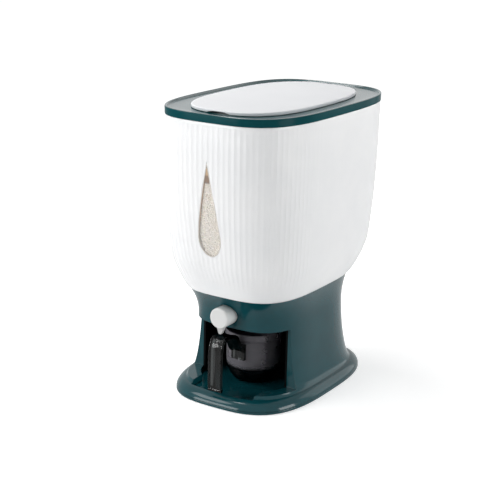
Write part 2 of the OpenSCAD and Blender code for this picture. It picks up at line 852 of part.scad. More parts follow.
module base_plate() {
    color("darkslategray") difference() {
        union() {
            oval_plate(foot_oval, 0, foot_gap, plate_top - groove_h);
            oval_plate(foot_oval, groove_in, foot_gap + over, plate_top);
        }
        at_places(foot_places(plate_shares), 0) {
            translate([0, 0, foot_gap - over]) cylinder(h = plate_t + 2 * over, d = screw_d + screw_slack);
            translate([0, 0, foot_gap - over]) cylinder(h = screw_head_h + seat_gap + over, d = screw_head_d + over);
        }
        at_places(foot_places(pad_shares), foot_gap - over)
            cylinder(h = pad_stud_h + seat_gap + over, d = pad_stud_d + 2 * seat_gap);
    }
}

module base_screws() {
    color("silver") at_places(foot_places(plate_shares), foot_gap + screw_head_h + seat_gap)
        screw(screw_d - screw_slack, screw_head_d, screw_head_h, plate_t);
}

module rubber_feet() {
    color("dimgray") at_places(foot_places(pad_shares), 0) {
        cylinder(h = foot_gap, d = pad_d);
        cylinder(h = foot_gap + pad_stud_h, d = pad_stud_d);
    }
}

module alcove_liner() {
    back = alcove_depth - alcove_front;
    ceiling = alcove_top + liner_rise;
    spout = [spout_w / 2 - 2 * spout_wall + seat_gap, spout_l / 2 - spout_wall + seat_gap, ceiling];
    module reach_2d(inset, reach) {
        intersection() {
            oval_2d(waist_oval, base_wall + inset);
            translate([-waist_w, -waist_l]) square([2 * waist_w, waist_l + reach]);
        }
    }
    color("black") difference() {
        translate([0, 0, floor_h]) linear_extrude(ceiling + liner_t - floor_h) reach_2d(seat_gap, back + liner_t);
        translate([0, 0, floor_h - over]) linear_extrude(ceiling - floor_h + over) reach_2d(seat_gap + liner_t, back);
        block([-waist_w, -waist_l, floor_h - over], [waist_w, -alcove_front, ceiling]);
        block(
            [-spout[0], -outlet_front - spout[1], ceiling - over],
            [spout[0], -outlet_front + spout[1], ceiling + liner_t + over]
        );
    }
}

module valve_housing() {
    throat_r = outlet_d / 2;
    gate_low = knob_h - gate_t / 2 - gate_slack;
    gate_high = knob_h + gate_t / 2 + gate_slack;
    color("ivory") difference() {
        union() {
            block([-housing_w / 2, -housing_front, housing_low], [housing_w / 2, -housing_rear, deck_low]);
            for (place = housing_screw_places)
                block(
                    [place[0] - ear_w / 2 - over, place[1] - ear_w / 2, deck_low - ear_t],
                    [place[0] + ear_w / 2 + over, place[1] + ear_w / 2, deck_low]
                );
        }
        translate([0, -outlet_front, seam_z - spigot_l - seat_gap]) cylinder(h = spigot_l, r = spigot_r + seat_gap);
        translate([0, -outlet_front, knob_h]) cylinder(h = seam_z, r = throat_r);
        block(
            [-gate_w / 2 - gate_slack, -housing_front - over, gate_low],
            [gate_w / 2 + gate_slack, -slot_rear, gate_high]
        );
        block(
            [-gate_slot_w / 2, -outlet_front - gate_slot_l / 2, housing_low - over],
            [gate_slot_w / 2, -outlet_front + gate_slot_l / 2, knob_h]
        );
        at_places(housing_screw_places, deck_low - ear_t - over)
            cylinder(h = ear_t + 2 * over, d = housing_screw_d + screw_slack);
    }
}

module housing_screws() {
    color("silver") at_places(housing_screw_places, deck_low - ear_t)
        screw(housing_screw_d - screw_slack, housing_screw_head_d, screw_head_h, ear_t + deck_t / 2 - seat_gap);
}

module outlet_spout() {
    low = spout_low;
    color("whitesmoke") difference() {
        union() {
            block(
                [-spout_w / 2, -outlet_front - spout_l / 2, housing_low - spout_t],
                [spout_w / 2, -outlet_front + spout_l / 2, housing_low]
            );
            block(
                [-spout_w / 2 + spout_wall * 2, -outlet_front - spout_l / 2 + spout_wall, low],
                [spout_w / 2 - spout_wall * 2, -outlet_front + spout_l / 2 - spout_wall, housing_low - over]
            );
        }
        block(
            [-gate_slot_w / 2 - over, -outlet_front - gate_slot_l / 2 - over, low - over],
            [gate_slot_w / 2 + over, -outlet_front + gate_slot_l / 2 + over, housing_low + over]
        );
    }
}

module knob_bush() {
    inner_r = knob_d / 2 + bush_rim;
    color("darkslategray") {
        front_tube(bush_seat - over, bush_front, inner_r + bush_wall, inner_r);
        front_tube(bush_rear, bush_seat, inner_r + bush_wall, rod_d / 2 + run_gap);
    }
}

module gate_plate() {
    opening = outlet_front + knob_travel;
    color("ivory") difference() {
        union() {
            block([-gate_w / 2, -lug_rear - over, knob_h - gate_t / 2], [gate_w / 2, -gate_rear, knob_h + gate_t / 2]);
            block([-lug_w / 2, -lug_front, knob_h - lug_h / 2], [lug_w / 2, -lug_rear, knob_h + lug_h / 2]);
        }
        block(
            [-gate_slot_w / 2, -opening - gate_slot_l / 2, knob_h - gate_t],
            [gate_slot_w / 2, -opening + gate_slot_l / 2, knob_h + gate_t]
        );
        to_front(clip_rear - 2 * over) cylinder(h = lug_l + 4 * over, d = rod_d + 2 * run_gap);
        to_front(clip_rear - 2 * over) cylinder(h = clip_t + 2 * over, r = rod_d / 2 + clip_w + part_gap);
    }
}

module push_rod() {
    color("silver") difference() {
        to_front(clip_rear - rod_end) cylinder(h = knob_face - knob_front_wall - clip_rear + rod_end, d = rod_d);
        front_tube(clip_rear, lug_rear, rod_d, rod_d / 2 - clip_groove);
    }
}

module rod_clip() {
    color("gray") front_tube(clip_rear + seat_gap, lug_rear, rod_d / 2 + clip_w, rod_d / 2 - clip_groove + seat_gap);
}

module push_knob() {
    reach = knob_face - knob_rear;
    r = knob_d / 2;
    cavity = reach - knob_front_wall;
    color("white") {
        to_front(knob_rear) rotate_extrude() polygon([
            [0, reach], [r - knob_round, reach], [r - knob_round / 3, reach - knob_round / 4],
            [r, reach - knob_round], [r, 0], [r - knob_wall, 0], [r - knob_wall, cavity], [0, cavity]
        ]);
        translate([0, -knob_face + tongue_inset + tongue_l, knob_h - r]) rotate([90, 0, 0]) linear_extrude(tongue_l)
            polygon([
                [-tongue_w / 2, knob_wall / 2], [-tongue_tip_w / 2, -tongue_drop + over], [0, -tongue_drop],
                [tongue_tip_w / 2, -tongue_drop + over], [tongue_w / 2, knob_wall / 2]
            ]);
    }
}

// Coil spring inside the knob, from the bush to the front wall of the knob
module return_spring() {
    low = bush_seat + stop_gap / 3;
    high = knob_face - knob_front_wall - stop_gap / 3;
    rise = high - low - wire_d;
    turns_total = spring_turns * spring_steps;
    coil_r = spring_d / 2;
    color("silver") to_front(low + wire_d / 2) loft([
        for (i = [0:turns_total])
            let (turn = i * 360 / spring_steps, share = i / turns_total)
            [
                for (k = [0:wire_sides - 1])
                    let (
                        side = -k * 360 / wire_sides,
                        r = coil_r + wire_d / 2 * cos(side)
                    )
                    [r * cos(turn), r * sin(turn), share * rise + wire_d / 2 * sin(side)]
            ]
    ]);
}

cup_r = cup_d / 2;
cup_h = spout_low - pour_gap - floor_h;
module cup_body() {
    outer = [for (s = cup_shares) [cup_r * s[0], cup_h * s[1]]];
    last = len(cup_shares) - 1;
    inner = [
        for (i = [last:-1:0])
            let (s = cup_shares[i]) [cup_r * s[0] - cup_wall, mix(cup_wall, cup_h, s[1])]
    ];
    color("dimgray", 0.5) translate([0, -cup_front, floor_h]) rotate_extrude()
        polygon(concat([[0, 0]], outer, inner, [[0, cup_wall]]));
}

// A smooth run through guide points: each one draws the curve between the middles of its sides
function curve_at(a, b, c, s) = mix(mix((a + b) / 2, b, s), mix(b, (b + c) / 2, s), s);
cup_body_r = cup_r * cup_body_share;
handle_guides = [for (s = handle_path_shares) [mix(cup_body_r, handle_reach, s[0]), s[1] * cup_h]];
handle_run = [
    for (i = [1:len(handle_guides) - 2], k = [0:handle_steps - 1])
        curve_at(handle_guides[i - 1], handle_guides[i], handle_guides[i + 1], k / handle_steps)
];
function run_side(run, i, half) =
    let (
        last = len(run) - 1,
        way = run[min(last, i + 1)] - run[max(0, i - 1)],
        across = [-way[1], way[0]] / norm(way)
    )
    run[i] + across * half;
module strap(width, thick) {
    last = len(handle_run) - 1;
    translate([width / 2, 0, 0]) rotate([90, 0, -90]) linear_extrude(width) polygon(concat(
        [for (i = [0:last]) run_side(handle_run, i, thick / 2)],
        [for (i = [last:-1:0]) run_side(handle_run, i, -thick / 2)]
    ));
}
module cup_handle() {
    tip = handle_run[len(handle_run) - 1];
    color("dimgray", 0.5) translate([0, -cup_front, floor_h]) {
        strap(handle_w, handle_t);
        for (side = [-1, 1])
            translate([side * (handle_w - handle_edge_w) / 2, 0, 0]) strap(handle_edge_w, handle_edge_t);
        translate([-handle_w / 2, -tip[0], tip[1]]) rotate([0, 90, 0]) cylinder(h = handle_w, d = handle_edge_t);
        difference() {
            block(
                [-handle_w / 2, -cup_body_r - pad_reach, cup_h * pad_low_share],
                [handle_w / 2, -cup_body_r + pad_reach, cup_h * (pad_low_share + pad_h_share)]
            );
            cylinder(h = cup_h, r = cup_body_r + seat_gap / 4);
        }
    }
}

tank_shell();
window_lens();
window_seal();
hopper_funnel();
outlet_seal();
tank_screws();
lid_frame();
lid_seal();
hinge_pin();
flip_cover();
cover_seal();
base_shell();
base_plate();
base_screws();
rubber_feet();
alcove_liner();
valve_housing();
housing_screws();
outlet_spout();
knob_bush();
gate_plate();
push_rod();
rod_clip();
push_knob();
return_spring();
cup_body();
cup_handle();
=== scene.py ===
import json
import math
import random

import bmesh
import bpy
from mathutils import Matrix, Vector


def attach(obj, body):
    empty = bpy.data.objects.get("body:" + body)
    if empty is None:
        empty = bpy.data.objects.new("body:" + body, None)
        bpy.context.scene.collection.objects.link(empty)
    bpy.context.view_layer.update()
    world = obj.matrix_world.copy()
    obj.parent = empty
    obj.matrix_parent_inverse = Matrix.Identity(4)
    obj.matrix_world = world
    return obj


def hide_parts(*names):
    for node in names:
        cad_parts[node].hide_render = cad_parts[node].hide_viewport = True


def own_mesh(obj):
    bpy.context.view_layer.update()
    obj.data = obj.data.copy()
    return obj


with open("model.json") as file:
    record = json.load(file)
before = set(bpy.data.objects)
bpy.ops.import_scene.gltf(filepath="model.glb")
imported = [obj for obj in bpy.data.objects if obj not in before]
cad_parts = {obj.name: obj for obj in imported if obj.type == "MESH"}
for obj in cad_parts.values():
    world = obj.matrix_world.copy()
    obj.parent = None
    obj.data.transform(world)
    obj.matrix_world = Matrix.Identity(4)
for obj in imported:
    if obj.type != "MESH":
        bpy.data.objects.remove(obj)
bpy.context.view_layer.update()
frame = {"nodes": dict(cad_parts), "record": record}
MM = 0.001
RNG = random.Random(7)

# Camera, fitted to the sizes printed in the photograph, in radians and metres, with the lens in millimetres
YAW, PITCH, ROLL = 0.56275, 0.28652, 0.02241
CAMERA_AT = Vector((0.82290, -1.36189, 0.64645))
LENS, SENSOR = 89.75, 36.0
NEAR, FAR = 0.05, 50.0

# Sizes in millimetres, as in the CAD source. An oval is its half width, half length, shift in Y and power
TOTAL_H, SEAM_Z, LID_W, LID_L = 385.0, 145.0, 200.0, 320.0
SEAM_W, SEAM_L, SEAM_SHIFT = 163.0, 232.0, 6.0
SIDE_LEAN, FRONT_LEAN, REAR_LEAN = 3.5, 30.0, 35.0
ROUND_H, TANK_WALL = 46.0, 3.0
FLUTE_PITCH, FLUTES, FLUTE_DEPTH, FLUTE_FADE = 7.6, 23, 0.4, 5
PART_GAP, OVER = 0.35, 1.0

COVER_W, COVER_L, COVER_T, COVER_RISE, COVER_SHIFT = 150.0, 268.0, 4.1, 1.9, 2.0
HOLE_W, HOLE_L = 130.0, 218.0
BAND_H, BAND_STEP, BAND_WALL = 10.2, 0.6, 2.4
FRAME_T, FRAME_LIP_W, FRAME_LIP_H = 2.6, 3.0, 4.0
COLLAR_INSET, COLLAR_W, COLLAR_H = BAND_WALL + PART_GAP - BAND_STEP, 2.5, 4.0
RIM_TOP = TOTAL_H - COVER_RISE
RIM_LOW = RIM_TOP - BAND_H
COVER_LOW = TOTAL_H - COVER_T
LEDGE = COVER_LOW - PART_GAP
FRAME_LOW = LEDGE - FRAME_T

FOOT_W, FOOT_L, WAIST_W, WAIST_L = 194.0, 276.0, 146.6, 209.0
WAIST_H, SLAB_H, FOOT_GAP, PLATE_TOP, SLAB_SHARE = 105.0, 16.0, 1.0, 5.0, 0.58
BASE_WALL, DECK_LOW, FLOOR_H, LEDGE_H = 3.2, 141.0, 12.0, 20.0
ALCOVE_FRONT, ALCOVE_TOP = 65.0, 100.0
RECESS_W, RECESS_FRONT, RECESS_REAR = 98.0, 124.0, 60.0
KNOB_H, KNOB_R, KNOB_TRAVEL = 118.5, 13.5, 14.0

RIM_POWER, SEAM_POWER, WAIST_POWER, FOOT_POWER, COVER_POWER = 3.57, 3.45, 3.45, 3.1, 2.9
LEAN_POWER, ROUND_POWER, SHOULDER_POWER, FLARE_POWER, CROWN_POWER = 2.87, 1.5, 1.6, 1.7, 2
RIM_OVAL = (LID_W / 2 - BAND_STEP, LID_L / 2 - BAND_STEP, 0.0, RIM_POWER)
LID_OVAL = (LID_W / 2, LID_L / 2, 0.0, RIM_POWER)
HOLE_OVAL = (HOLE_W / 2, HOLE_L / 2, -COVER_SHIFT, COVER_POWER)
COVER_OVAL = (COVER_W / 2, COVER_L / 2, -COVER_SHIFT, COVER_POWER)
FOOT_OVAL = (FOOT_W / 2, FOOT_L / 2, 0.0, FOOT_POWER)
WAIST_OVAL = (WAIST_W / 2, WAIST_L / 2, 0.0, WAIST_POWER)
CROWN_OVAL = (SEAM_W / 2 - BAND_STEP, SEAM_L / 2 - BAND_STEP, -SEAM_SHIFT, SEAM_POWER)

WINDOW_LOW, WINDOW_H, WINDOW_HALF = SEAM_Z + 59.0, 121.93, 16.8
DROP_SHARE, DROP_POWER = 0.2, 1.25
RICE_TOP = 299.8

HINGE_INSET, KNUCKLE_R, KNUCKLE_L = 6.0, 3.0, 50.0
HINGE_Y = COVER_L / 2 - COVER_SHIFT - HINGE_INSET
HINGE_Z = COVER_LOW - KNUCKLE_R
EAR_GAP, EAR_T, EAR_R, EAR_WEB, EAR_SIDE = 0.5, 4.0, 2.6, 1.2, 2.3
TROUGH_GAP, TROUGH_WALL, TROUGH_SIDE = 0.4, 2.0, 14.0
TROUGH_R = math.hypot(HINGE_INSET, KNUCKLE_R + COVER_T) + TROUGH_GAP
TROUGH_L = KNUCKLE_L + 2 * (EAR_GAP + EAR_T + TROUGH_SIDE)

CUP_Y, CUP_Z, CUP_H, CUP_BODY_R = -43.0, FLOOR_H, 71.0, 35.91
HANDLE_REACH = 91.0


def make_camera():
    """The photograph's camera, turned by yaw, pitch and roll."""
    ahead = Vector((-math.sin(YAW) * math.cos(PITCH), math.cos(YAW) * math.cos(PITCH), -math.sin(PITCH)))
    level = Vector((math.cos(YAW), math.sin(YAW), 0.0))
    upright = level.cross(ahead)
    right = level * math.cos(ROLL) + upright * math.sin(ROLL)
    up = -level * math.sin(ROLL) + upright * math.cos(ROLL)
    data = bpy.data.cameras.new("view")
    data.sensor_width = SENSOR
    data.lens = LENS
    data.clip_start = NEAR
    data.clip_end = FAR
    camera = bpy.data.objects.new("view", data)
    bpy.context.scene.collection.objects.link(camera)
    camera.matrix_world = Matrix.Translation(CAMERA_AT) @ Matrix((right, up, -ahead)).transposed().to_4x4()
    bpy.context.scene.camera = camera


# Numbers and curves
def mix(a, b, s):
    """A number, or a tuple of them, at a share of the way from a to b."""
    if isinstance(a, (tuple, list)):
        return tuple(x + (y - x) * s for x, y in zip(a, b))
    return a + (b - a) * s


def clamp(v, low=0.0, high=1.0):
    return max(low, min(high, v))


def smooth(v):
    v = clamp(v)
    return v * v * (3 - 2 * v)


def arc_share(v, power):
    """A quarter of a rounded curve, from nought to one."""
    return 1 - (1 - clamp(v) ** power) ** (1 / power)


def circle(radius, count):
    """Points (a, b) evenly round a circle."""
    turns = [2 * math.pi * j / count for j in range(count)]
    return [(radius * math.cos(t), radius * math.sin(t)) for t in turns]


def arc(centre, radius, start, end, count):
    """Points (a, b) on an arc, angles in degrees."""
    turns = [math.radians(mix(start, end, i / count)) for i in range(count + 1)]
    return [(centre[0] + radius * math.cos(t), centre[1] + radius * math.sin(t)) for t in turns]


def tank_oval(z):
    """The outside of the tank at a height."""
    lean = clamp((RIM_LOW - z) / (RIM_LOW - SEAM_Z)) ** LEAN_POWER
    bend = arc_share((SEAM_Z + ROUND_H - z) / ROUND_H, ROUND_POWER)
    half = mix(RIM_OVAL[0] - SIDE_LEAN * lean, SEAM_W / 2, bend)
    front = mix(FRONT_LEAN * lean - RIM_OVAL[1], -SEAM_SHIFT - SEAM_L / 2, bend)
    rear = mix(RIM_OVAL[1] - REAR_LEAN * lean, SEAM_L / 2 - SEAM_SHIFT, bend)
    return (half, (rear - front) / 2, (rear + front) / 2, mix(RIM_POWER, SEAM_POWER, bend))


def tank_front(x, z):
    """How far forward the outside of the tank lies, as a Y."""
    half, length, shift, power = tank_oval(z)
    return shift - length * (1 - (abs(x) / half) ** power) ** (1 / power)


def base_oval(z):
    """The outside of the base at a height: the slab of the foot, its flare to the waist, and the crown."""
    if z <= SLAB_H:
        up = clamp((z - PLATE_TOP) / (SLAB_H - PLATE_TOP))
        shoulder = (1 - up ** SHOULDER_POWER) ** (1 / SHOULDER_POWER)
        return mix(WAIST_OVAL, FOOT_OVAL, mix(SLAB_SHARE, 1.0, shoulder))
    if z <= WAIST_H:
        flare = arc_share(1 - (z - SLAB_H) / (WAIST_H - SLAB_H), FLARE_POWER)
        return mix(WAIST_OVAL, FOOT_OVAL, SLAB_SHARE * flare)
    return mix(WAIST_OVAL, CROWN_OVAL, ((z - WAIST_H) / (SEAM_Z - WAIST_H)) ** CROWN_POWER)


def oval_point(oval, inset, turn, z):
    c, s = abs(math.cos(turn)), abs(math.sin(turn))
    r = ((c / (oval[0] - inset)) ** oval[3] + (s / (oval[1] - inset)) ** oval[3]) ** (-1 / oval[3])
    return (r * math.cos(turn), oval[2] + r * math.sin(turn), z)


class Outline:
    """Arc length round an oval, from its front centre towards +X."""

    def __init__(self, oval, steps=1440):
        self.turns = [i * 2 * math.pi / steps - math.pi / 2 for i in range(steps + 1)]
        spots = [Vector(oval_point(oval, 0, t, 0)) for t in self.turns]
        self.sums = [0.0]
        for a, b in zip(spots, spots[1:]):
            self.sums.append(self.sums[-1] + (b - a).length)
        self.length = self.sums[-1]

    def turn(self, s):
        """The angle at an arc length."""
        s %= self.length
        low, high = 0, len(self.sums) - 1
        while high - low > 1:
            mid = (low + high) // 2
            if self.sums[mid] <= s:
                low = mid
            else:
                high = mid
        share = (s - self.sums[low]) / (self.sums[high] - self.sums[low])
        return mix(self.turns[low], self.turns[high], share)

    def even(self, count):
        """Angles that share the outline out evenly."""
        return [self.turn((i + 0.5) * self.length / count) for i in range(count)]


def ring(oval, inset, turns, z):
    return [oval_point(oval, inset, t, z) for t in turns]


def ring_stack(oval, turns, profile):
    """Rings of one oval; the profile is (inset, height)."""
    return [ring(oval, inset, turns, z) for inset, z in profile]


def flat_ring(oval, inset, count):
    return [oval_point(oval, inset, t, 0)[:2] for t in Outline(oval).even(count)]


# Mesh helpers, which take millimetres
WELD = 1e-7
LATHE_TIP = 0.01


def link_object(name, mesh):
    obj = bpy.data.objects.new(name, mesh)
    bpy.context.scene.collection.objects.link(obj)
    return obj


def finish_shading(obj, sharp):
    """Smooth shading, with edges above an angle in degrees kept sharp."""
    obj.data.shade_smooth()
    obj.data.set_sharp_from_angle(angle=math.radians(sharp))


def new_object(name, verts, faces, sharp):
    mesh = bpy.data.meshes.new(name)
    mesh.from_pydata([(x * MM, y * MM, z * MM) for x, y, z in verts], [], faces)
    mesh.validate()
    work = bmesh.new()
    work.from_mesh(mesh)
    bmesh.ops.remove_doubles(work, verts=work.verts, dist=WELD)
    bmesh.ops.recalc_face_normals(work, faces=work.faces)
    work.to_mesh(mesh)
    work.free()
    obj = link_object(name, mesh)
    finish_shading(obj, sharp)
    return obj


def loft(name, rings, sharp, hoop=False):
    """A skin over rings of equal count: closed into a hoop, or else with a cap at each end."""
    rows, count = len(rings), len(rings[0])
    verts = [p for points in rings for p in points]
    faces = []
    for i in range(rows if hoop else rows - 1):
        a, b = i * count, ((i + 1) % rows) * count
        for j in range(count):
            k = (j + 1) % count
            faces.append((a + j, a + k, b + k, b + j))
    ends = () if hoop else (0, rows - 1)
    for row in ends:
        verts.append(tuple(sum(p[axis] for p in rings[row]) / count for axis in range(3)))
        centre = len(verts) - 1
        for j in range(count):
            near, far = row * count + j, row * count + (j + 1) % count
            faces.append((near, far, centre) if row else (far, near, centre))
    return new_object(name, verts, faces, sharp)


def lathe_rings(profile, count, put):
    """Rings of a turned shape: profile is (radius, along), and put maps (x, y, along) to the frame."""
    return [[put(x, y, along) for x, y in circle(radius, count)] for radius, along in profile]


def prism(name, outline, low, high, axis="z"):
    """A prism of a flat outline along an axis; the outline is in the other two coordinates."""
    put = {
        "z": lambda a, b, h: (a, b, h),
        "y": lambda a, b, h: (a, h, b),
        "x": lambda a, b, h: (h, a, b),
    }[axis]
    verts = [put(a, b, h) for h in (low, high) for a, b in outline]
    count = len(outline)
    faces = [(j, (j + 1) % count, (j + 1) % count + count, j + count) for j in range(count)]
    faces.append(tuple(range(count - 1, -1, -1)))
    faces.append(tuple(range(count, 2 * count)))
    return new_object(name, verts, faces, 30)


def box(name, low, high):
    outline = [(low[0], low[1]), (high[0], low[1]), (high[0], high[1]), (low[0], high[1])]
    return prism(name, outline, low[2], high[2])


def round_bar(name, radius, length, centre, axis="x", count=64):
    a, b = [i for i in range(3) if "xyz"[i] != axis]
    outline = [(p + centre[a], q + centre[b]) for p, q in circle(radius, count)]
    middle = centre["xyz".index(axis)]
    return prism(name, outline, middle - length / 2, middle + length / 2, axis)


def join_cut(obj, tool, operation="DIFFERENCE"):
    """Cut a tool from an object, or unite it with the object, and use the tool up."""
    change = obj.modifiers.new("cut", "BOOLEAN")
    change.operation = operation
    change.solver = "EXACT"
    change.object = tool
    graph = bpy.context.evaluated_depsgraph_get()
    mesh = bpy.data.meshes.new_from_object(obj.evaluated_get(graph))
    obj.modifiers.clear()
    old = obj.data
    obj.data = mesh
    bpy.data.meshes.remove(old)
    bpy.data.objects.remove(tool)


def merge(name, parts, sharp):
    """One object of several closed parts."""
    work = bmesh.new()
    for part in parts:
        work.from_mesh(part.data)
        bpy.data.objects.remove(part)
    mesh = bpy.data.meshes.new(name)
    work.to_mesh(mesh)
    work.free()
    obj = link_object(name, mesh)
    finish_shading(obj, sharp)
    return obj


# Materials, whose scales are per metre and whose depths are in metres
NOISE_LOW, NOISE_HIGH = 0.3, 0.7
COLOUR_A, COLOUR_B, COLOUR_OUT = 6, 7, 2
PATCH_SCALE, GLOSS_SCALE, PEEL_SCALE, PEEL_DEPTH = 15.0, 60.0, 540.0, 0.0003
STREAK_SCALE, STREAK_STRETCH = 900, (1, 1, 0.08)
TINT_SCALE, SMEAR_SCALE, RIPPLE_SCALE, RIPPLE_DEPTH = 45, 120, 30, 0.001


class Nodes:
    """A node tree that is filled by short calls. Noise is taken in object coordinates."""

    def __init__(self, tree, output):
        self.tree = tree
        tree.nodes.clear()
        self.output = self.add(output)

    def add(self, kind, inputs=(), **settings):
        """A node with its settings; an input is linked where it is given a socket, and else set."""
        node = self.tree.nodes.new(kind)
        for key, value in settings.items():
            setattr(node, key, value)
        for key, value in dict(inputs).items():
            if isinstance(value, bpy.types.NodeSocket):
                self.tree.links.new(value, node.inputs[key])
            else:
                node.inputs[key].default_value = value
        return node

    def finish(self, shader):
        self.tree.links.new(shader, self.output.inputs["Surface"])

    def spot(self):
        return self.add("ShaderNodeTexCoord").outputs["Object"]

    def noise(self, scale, detail, rough=0.55, stretch=(1, 1, 1)):
        spot = self.add("ShaderNodeMapping", {"Vector": self.spot(), "Scale": stretch}).outputs["Vector"]
        inputs = {"Vector": spot, "Scale": scale, "Detail": detail, "Roughness": rough}
        return self.add("ShaderNodeTexNoise", inputs).outputs["Fac"]

    def span(self, value, low, high):
        """Noise spread over a range."""
        inputs = {"Value": value, "From Min": NOISE_LOW, "From Max": NOISE_HIGH,
                  "To Min": low, "To Max": high}
        return self.add("ShaderNodeMapRange", inputs).outputs["Result"]

    def above(self, level, soft, top=1.0):
        """Nought below a height in millimetres, and top above it."""
        height = self.add("ShaderNodeSeparateXYZ", {"Vector": self.spot()}).outputs["Z"]
        inputs = {"Value": height, "From Min": (level - soft / 2) * MM, "From Max": (level + soft / 2) * MM,
                  "To Max": top}
        return self.add("ShaderNodeMapRange", inputs, interpolation_type="SMOOTHSTEP").outputs["Result"]

    def blend(self, share, a, b):
        """Two colours mixed by a share."""
        inputs = {0: share, COLOUR_A: (*a, 1), COLOUR_B: (*b, 1)}
        return self.add("ShaderNodeMix", inputs, data_type="RGBA").outputs[COLOUR_OUT]

    def mottle(self, noise, dark, light):
        """Two near colours mixed by noise."""
        return self.blend(self.span(noise, 0, 1), dark, light)

    def bump(self, height, strength, distance, radius=0.0):
        """A bumped normal, with edges rounded by a radius in metres."""
        inputs = {"Height": height, "Strength": strength, "Distance": distance}
        if radius:
            inputs["Normal"] = self.add("ShaderNodeBevel", {"Radius": radius}, samples=4).outputs["Normal"]
        return self.add("ShaderNodeBump", inputs).outputs["Normal"]

    def cover(self, share, under, top):
        """One shader laid over another by a share."""
        return self.add("ShaderNodeMixShader", {0: share, 1: under, 2: top}).outputs["Shader"]

    def seen_ray(self):
        """One for camera, glossy and transmission rays, and nought for the others."""
        path = self.add("ShaderNodeLightPath").outputs
        first = self.add("ShaderNodeMath", {0: path["Is Camera Ray"], 1: path["Is Glossy Ray"]},
                         operation="ADD", use_clamp=True)
        both = self.add("ShaderNodeMath", {0: first.outputs["Value"], 1: path["Is Transmission Ray"]},
                        operation="ADD", use_clamp=True)
        return both.outputs["Value"]


def new_look(name):
    """An empty material and its nodes."""
    mat = bpy.data.materials.new(name)
    mat.use_nodes = True
    return mat, Nodes(mat.node_tree, "ShaderNodeOutputMaterial")


def plastic(name, dark, light, rough, spread, peel, radius=0.0006, shine=0.5):
    """Moulded plastic: faint colour patches, uneven gloss, an orange-peel skin and rounded edges."""
    mat, n = new_look(name)
    shade = n.add("ShaderNodeBsdfPrincipled", {
        "Base Color": n.mottle(n.noise(PATCH_SCALE, 3), dark, light),
        "Roughness": n.span(n.noise(GLOSS_SCALE, 5), rough - spread, rough + spread),
        "Normal": n.bump(n.noise(PEEL_SCALE, 3), peel, PEEL_DEPTH, radius),
        "Specular IOR Level": shine,
    })
    n.finish(shade.outputs["BSDF"])
    return mat


def metal(name, colour, rough):
    """Drawn metal with fine streaks along Z."""
    mat, n = new_look(name)
    streak = n.noise(STREAK_SCALE, 4, 0.6, STREAK_STRETCH)
    shade = n.add("ShaderNodeBsdfPrincipled", {
        "Metallic": 1.0,
        "Base Color": n.mottle(streak, tuple(c * 0.85 for c in colour), colour),
        "Roughness": n.span(streak, rough - 0.08, rough + 0.08),
        "Normal": n.bump(streak, 0.08, 0.0002, 0.0002),
    })
    n.finish(shade.outputs["BSDF"])
    return mat


def glazed(n, under, gloss, ior, rough, ripple, face=0.0):
    """A rippled Fresnel gloss over a see-through shader, with a share of gloss added all over."""
    normal = n.bump(n.noise(RIPPLE_SCALE, 2), ripple, RIPPLE_DEPTH)
    shine = n.add("ShaderNodeBsdfGlossy", {
        "Color": (*gloss, 1),
        "Roughness": n.span(n.noise(SMEAR_SCALE, 4), rough, rough + 0.04),
        "Normal": normal,
    })
    fresnel = n.add("ShaderNodeFresnel", {"IOR": ior, "Normal": normal})
    share = n.add("ShaderNodeMath", {0: fresnel.outputs["Fac"], 1: face}, operation="ADD", use_clamp=True)
    return n.cover(share.outputs["Value"], under, shine.outputs["BSDF"])


def clear(name, tint, gloss, face=0.0, painted_reflection=0.0, reflection_from=0.0):
    """Clear plastic without refraction: tinted see-through with a gloss, and above a height a dull layer that
    is a painted reflection.
    """
    mat, n = new_look(name)
    wave = n.noise(TINT_SCALE, 3)
    through = n.add("ShaderNodeBsdfTransparent", {
        "Color": n.mottle(wave, tuple(c * 0.92 for c in tint), tint)})
    whole = glazed(n, through.outputs["BSDF"], gloss, ior=1.52, rough=0.02, ripple=0.12, face=face)
    if painted_reflection:
        # The dull layer over the upper wall is a painted reflection of the surroundings on the cup's face;
        # below it the cup stays clear.
        dull = n.add("ShaderNodeBsdfDiffuse", {"Color": n.mottle(wave, tuple(c * 0.8 for c in tint), tint)})
        whole = n.cover(n.above(reflection_from, 6, painted_reflection), whole, dull.outputs["BSDF"])
    n.finish(whole)
    return mat


def edge_shade_mask(n):
    """A mask of the window's cut edge, where brown is painted: partly the deeper colour of the plastic seen
    along its length, partly painted shade of the cut wall behind it.
    """
    normal = n.add("ShaderNodeNewGeometry").outputs["Normal"]
    sideways = n.add("ShaderNodeSeparateXYZ", {"Vector": normal}).outputs["Y"]
    facing = n.add("ShaderNodeMath", {0: sideways}, operation="ABSOLUTE").outputs["Value"]
    return n.add("ShaderNodeMath", {0: facing, 1: 0.5}, operation="LESS_THAN").outputs["Value"]


